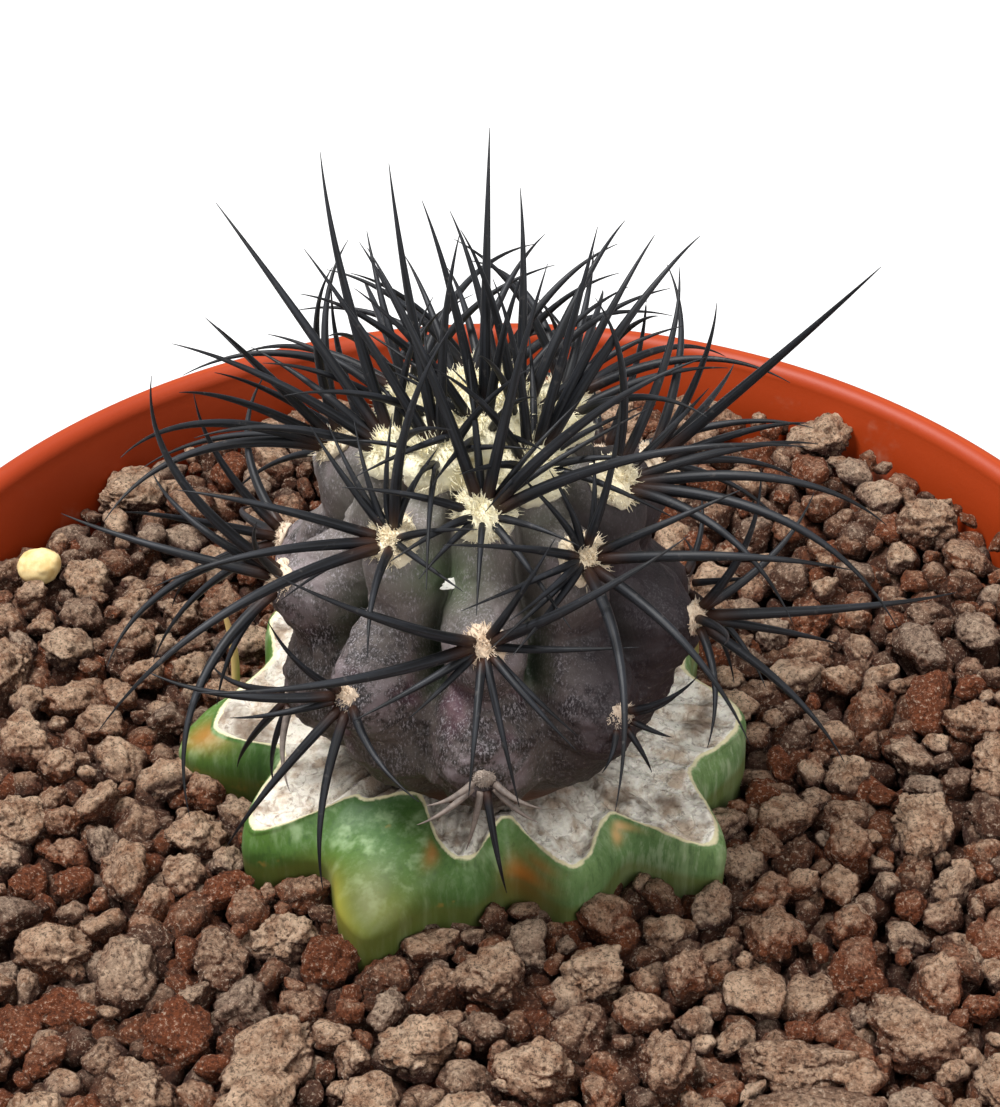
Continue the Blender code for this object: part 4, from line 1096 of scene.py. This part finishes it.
def makeWoolMaterial():
    # Felted wool: cream on young areoles, pinkish beige on older ones, grey at the lowest
    material, tree, shader = startMaterial("areoleWool", 0.95, 0.1)
    age = readOf(tree, "age")
    colour = mixOf(tree, rangeOf(tree, age, 0.1, 0.45), shade(246, 238, 206), shade(232, 210, 184))
    colour = mixOf(tree, rangeOf(tree, age, 0.6, 0.95), colour, shade(164, 150, 140))
    tan = shade(176, 150, 118)
    colour, tuftTone = mottleOf(tree, objectPoint(tree), 900, 4, 0.7, 0.56, 0.8, 0.5, colour, tan)
    tree.links.new(colour, shader.inputs["Base Color"])
    shader.inputs["Sheen Weight"].default_value = 0.3
    tree.links.new(bumpOf(tree, tuftTone, 0.6, 0.0003), shader.inputs["Normal"])
    return material


def buildTufts():
    chance = np.random.default_rng(5)
    dark, wool = makeSpineMaterial(), makeWoolMaterial()
    for (rib, row), (axes, own, latitude) in sorted(layOutSpines().items()):
        base, outward, upward, right = axes
        label = f"rib{rib + 1:02d}_row{row + 1}"
        age = float(np.clip((75 - latitude) / 100, 0, 1))
        paths, widths, olds = [], [], []
        part = np.linspace(0, 1, 22)
        for item in own:
            length = item[2]
            thick = spineSetting["thinnest"] + 0.013 * length
            thick = np.clip(thick, spineSetting["thinnest"], spineSetting["thickest"])
            path = spinePoints(spineRoot(axes, item) - outward * 0.0004, axes, *item, 22)
            # Long spines arch more: lifted in the middle, and the tip as it was
            arch = spineSetting["arch"] * length * np.clip((length - 0.014) / 0.010, 0, 1) * (item[1] < 48)
            paths.append(path + outward * (arch * part * (1 - part))[:, None])
            widths.append(thick * (1 - part ** 1.7) * (1 - 0.25 * part) + spineSetting["tip"])
            olds.append(0.75 if latitude < -10 and length < 0.0085 else 0.0)
        if latitude > bristleSetting["above"] and rib in bristleSetting["ribs"]:
            # Short arching bristles round the young areoles
            for _ in range(bristleSetting["count"]):
                turn, lift = chance.uniform(0, 360), chance.uniform(40, 65)
                length = chance.uniform(0.006, 0.0105)
                flat = upward * math.cos(math.radians(turn)) + right * math.sin(math.radians(turn))
                way = outward * math.sin(math.radians(lift)) + flat * math.cos(math.radians(lift))
                droop = chance.uniform(0.7, 1.5)
                curve = part[:, None]
                start = base + flat * 0.0009
                bow = (flat * droop - outward * 0.5 * droop) * curve ** 2
                paths.append(start + length * (way * curve + bow * 0.6))
                widths.append(chance.uniform(0.00026, 0.00042) * (1 - part ** 2) + spineSetting["tip"])
                olds.append(0.0)
        points, faces, uv = tubes(np.array(paths), np.array(widths), 9)
        old = np.repeat(olds, len(points) // len(paths))
        piece = makePiece("spineTuft_" + label, points, faces, dark, {"old": old}, uv)
        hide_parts("spines_" + label)
        # Wool: a lumpy dome with a coat of tapering fibres
        size = float(np.interp(latitude, woolSetting["latitudes"], woolSetting["sizes"]))
        if row == 0:
            size = woolSetting["crownSize"]
        rise = size * (0.75 if latitude > 50 else 0.55)
        columns, rows = woolSetting["columns"], woolSetting["rows"]
        turn = np.arange(columns) * 2 * np.pi / columns
        climb = np.radians(np.linspace(-20, 86, rows))
        grid = np.meshgrid(turn, climb)
        flat = np.cos(grid[1])
        dome = np.stack([flat * np.cos(grid[0]), flat * np.sin(grid[0]), np.sin(grid[1])], -1)
        swell = 1 + woolSetting["swell"] * layeredNoise(dome * 2.6 + rib * 7 + row, 14, 3)
        local = dome * swell[..., None] * [size, size, rise]
        seat = base - outward * 0.0006
        # The rings turn from right to upward about the outward axis
        rings = seat + local[..., 0:1] * right + local[..., 1:2] * upward + local[..., 2:3] * outward
        top = rings[-1].mean(0)
        bottom = rings[0].mean(0)
        points = np.concatenate([rings.reshape(-1, 3), [bottom], [top]])
        faces = [ringFaces(rows, columns), capFaces(0, columns, rows * columns, False)]
        faces.append(capFaces(rows - 1, columns, rows * columns + 1, True))
        count = woolSetting["youngFibres"] if row == 0 or latitude > 40 else woolSetting["oldFibres"]
        around = chance.uniform(0, 2 * np.pi, count)
        high = chance.uniform(0.05, 1.45, count)
        way = (np.cos(around) * np.cos(high))[:, None] * right
        way = way + (np.sin(around) * np.cos(high))[:, None] * upward
        root = seat + way * size * 0.85 + outward * (np.sin(high) * rise * 0.85)[:, None]
        flow = way * 0.9 + outward * (np.sin(high) * 0.8 + 0.1)[:, None] + chance.normal(0, 0.22, (count, 3))
        flow /= np.linalg.norm(flow, axis=-1, keepdims=True)
        step = np.linspace(0, 1, 4)[None, :, None]
        length = chance.uniform(woolSetting["shortest"], woolSetting["longest"], (count, 1, 1)) * size
        droop = chance.normal(0, 0.22, (count, 1, 3))
        fibrePaths = root[:, None] + length * (flow[:, None] * step + droop * step ** 2)
        fibreWidths = chance.uniform(0.00006, 0.00010, (count, 1)) * np.array([1.0, 0.8, 0.5, 0.12])
        more, moreFaces, _ = tubes(fibrePaths, fibreWidths, 4)
        faces += [part + len(points) for part in moreFaces]
        points = np.concatenate([points, more])
        woolPiece = makePiece("wool_" + label, points, faces, wool, {"age": np.full(len(points), age)})
    print("tufts")


def buildStraw():
    # A thin bent tube beside the rootstock
    straw, _, shader = startMaterial("strawSliver", 0.6, 0.3)
    shader.inputs["Base Color"].default_value = shade(214, 184, 120)
    part = np.linspace(0, 1, 12)[:, None]
    start = np.array([-0.0285, 0.0120, place["grit"] + 0.001])
    path = start + part * np.array([-0.0008, 0.0015, 0.0085]) + np.sin(part * 3) * np.array([0.0004, 0, 0])
    width = np.full(12, 0.00045) * (1 - 0.5 * part[:, 0] ** 3)
    points, faces, uv = tubes(path[None], width[None], 8)
    makePiece("strawSliver", points, faces, straw, {}, uv)


def buildFlake():
    # One thin pale chip that lies on the skin
    paper, _, shader = startMaterial("paleFlake", 0.7, 0.2)
    shader.inputs["Base Color"].default_value = shade(240, 238, 228)
    side, height = math.radians(-13), math.radians(43)
    out = direction(side, height)
    spot = place["bodyCentre"] + out * (seenSkin(np.array([side]), np.array([height]))[0][0] + 0.0006)
    angles = np.array([[0.7, 0.0, 0.3]])
    stretch = np.array([[1.0, 0.35, 0.14]])
    makeGrains("paleFlake", spot[None], np.array([0.0013]), stretch, angles, np.zeros(1), 4, 77, paper)


roomSetting = {
    "floor": 30, "skyStrength": 0.38,
    # name, place, size, power
    "lights": (("keyLight", (-0.30, 0.06, 0.93), 0.28, 12.5), ("fillLight", (0.35, -0.6, 0.7), 0.5, 3.6)),
}


def buildRoom():
    white, _, shader = startMaterial("floorPaper", 0.9, 0.1)
    shader.inputs["Base Color"].default_value = (0.88, 0.88, 0.88, 1)
    mesh = bpy.data.meshes.new("floor")
    far = roomSetting["floor"]
    mesh.from_pydata([(-far, -far, 0), (far, -far, 0), (far, far, 0), (-far, far, 0)], [], [(0, 1, 2, 3)])
    mesh.materials.append(white)
    floor = bpy.data.objects.new("floor", mesh)
    bpy.context.scene.collection.objects.link(floor)
    world = bpy.data.worlds.new("studio")
    world.use_nodes = True
    sky = world.node_tree.nodes["Background"]
    sky.inputs["Color"].default_value = (1, 1, 1, 1)
    sky.inputs["Strength"].default_value = roomSetting["skyStrength"]
    bpy.context.scene.world = world
    for name, spot, size, power in roomSetting["lights"]:
        lamp = bpy.data.lights.new(name, "AREA")
        lamp.size = size
        lamp.energy = power
        light = bpy.data.objects.new(name, lamp)
        light.location = spot
        light.rotation_mode = "QUATERNION"
        light.rotation_quaternion = (Vector(spot) - Vector((0, 0, 0.12))).to_track_quat("Z", "Y")
        bpy.context.scene.collection.objects.link(light)
    print("room")


buildPot()
buildStock()
buildGrit()
buildBody()
buildTufts()
buildStraw()
buildFlake()
buildRoom()
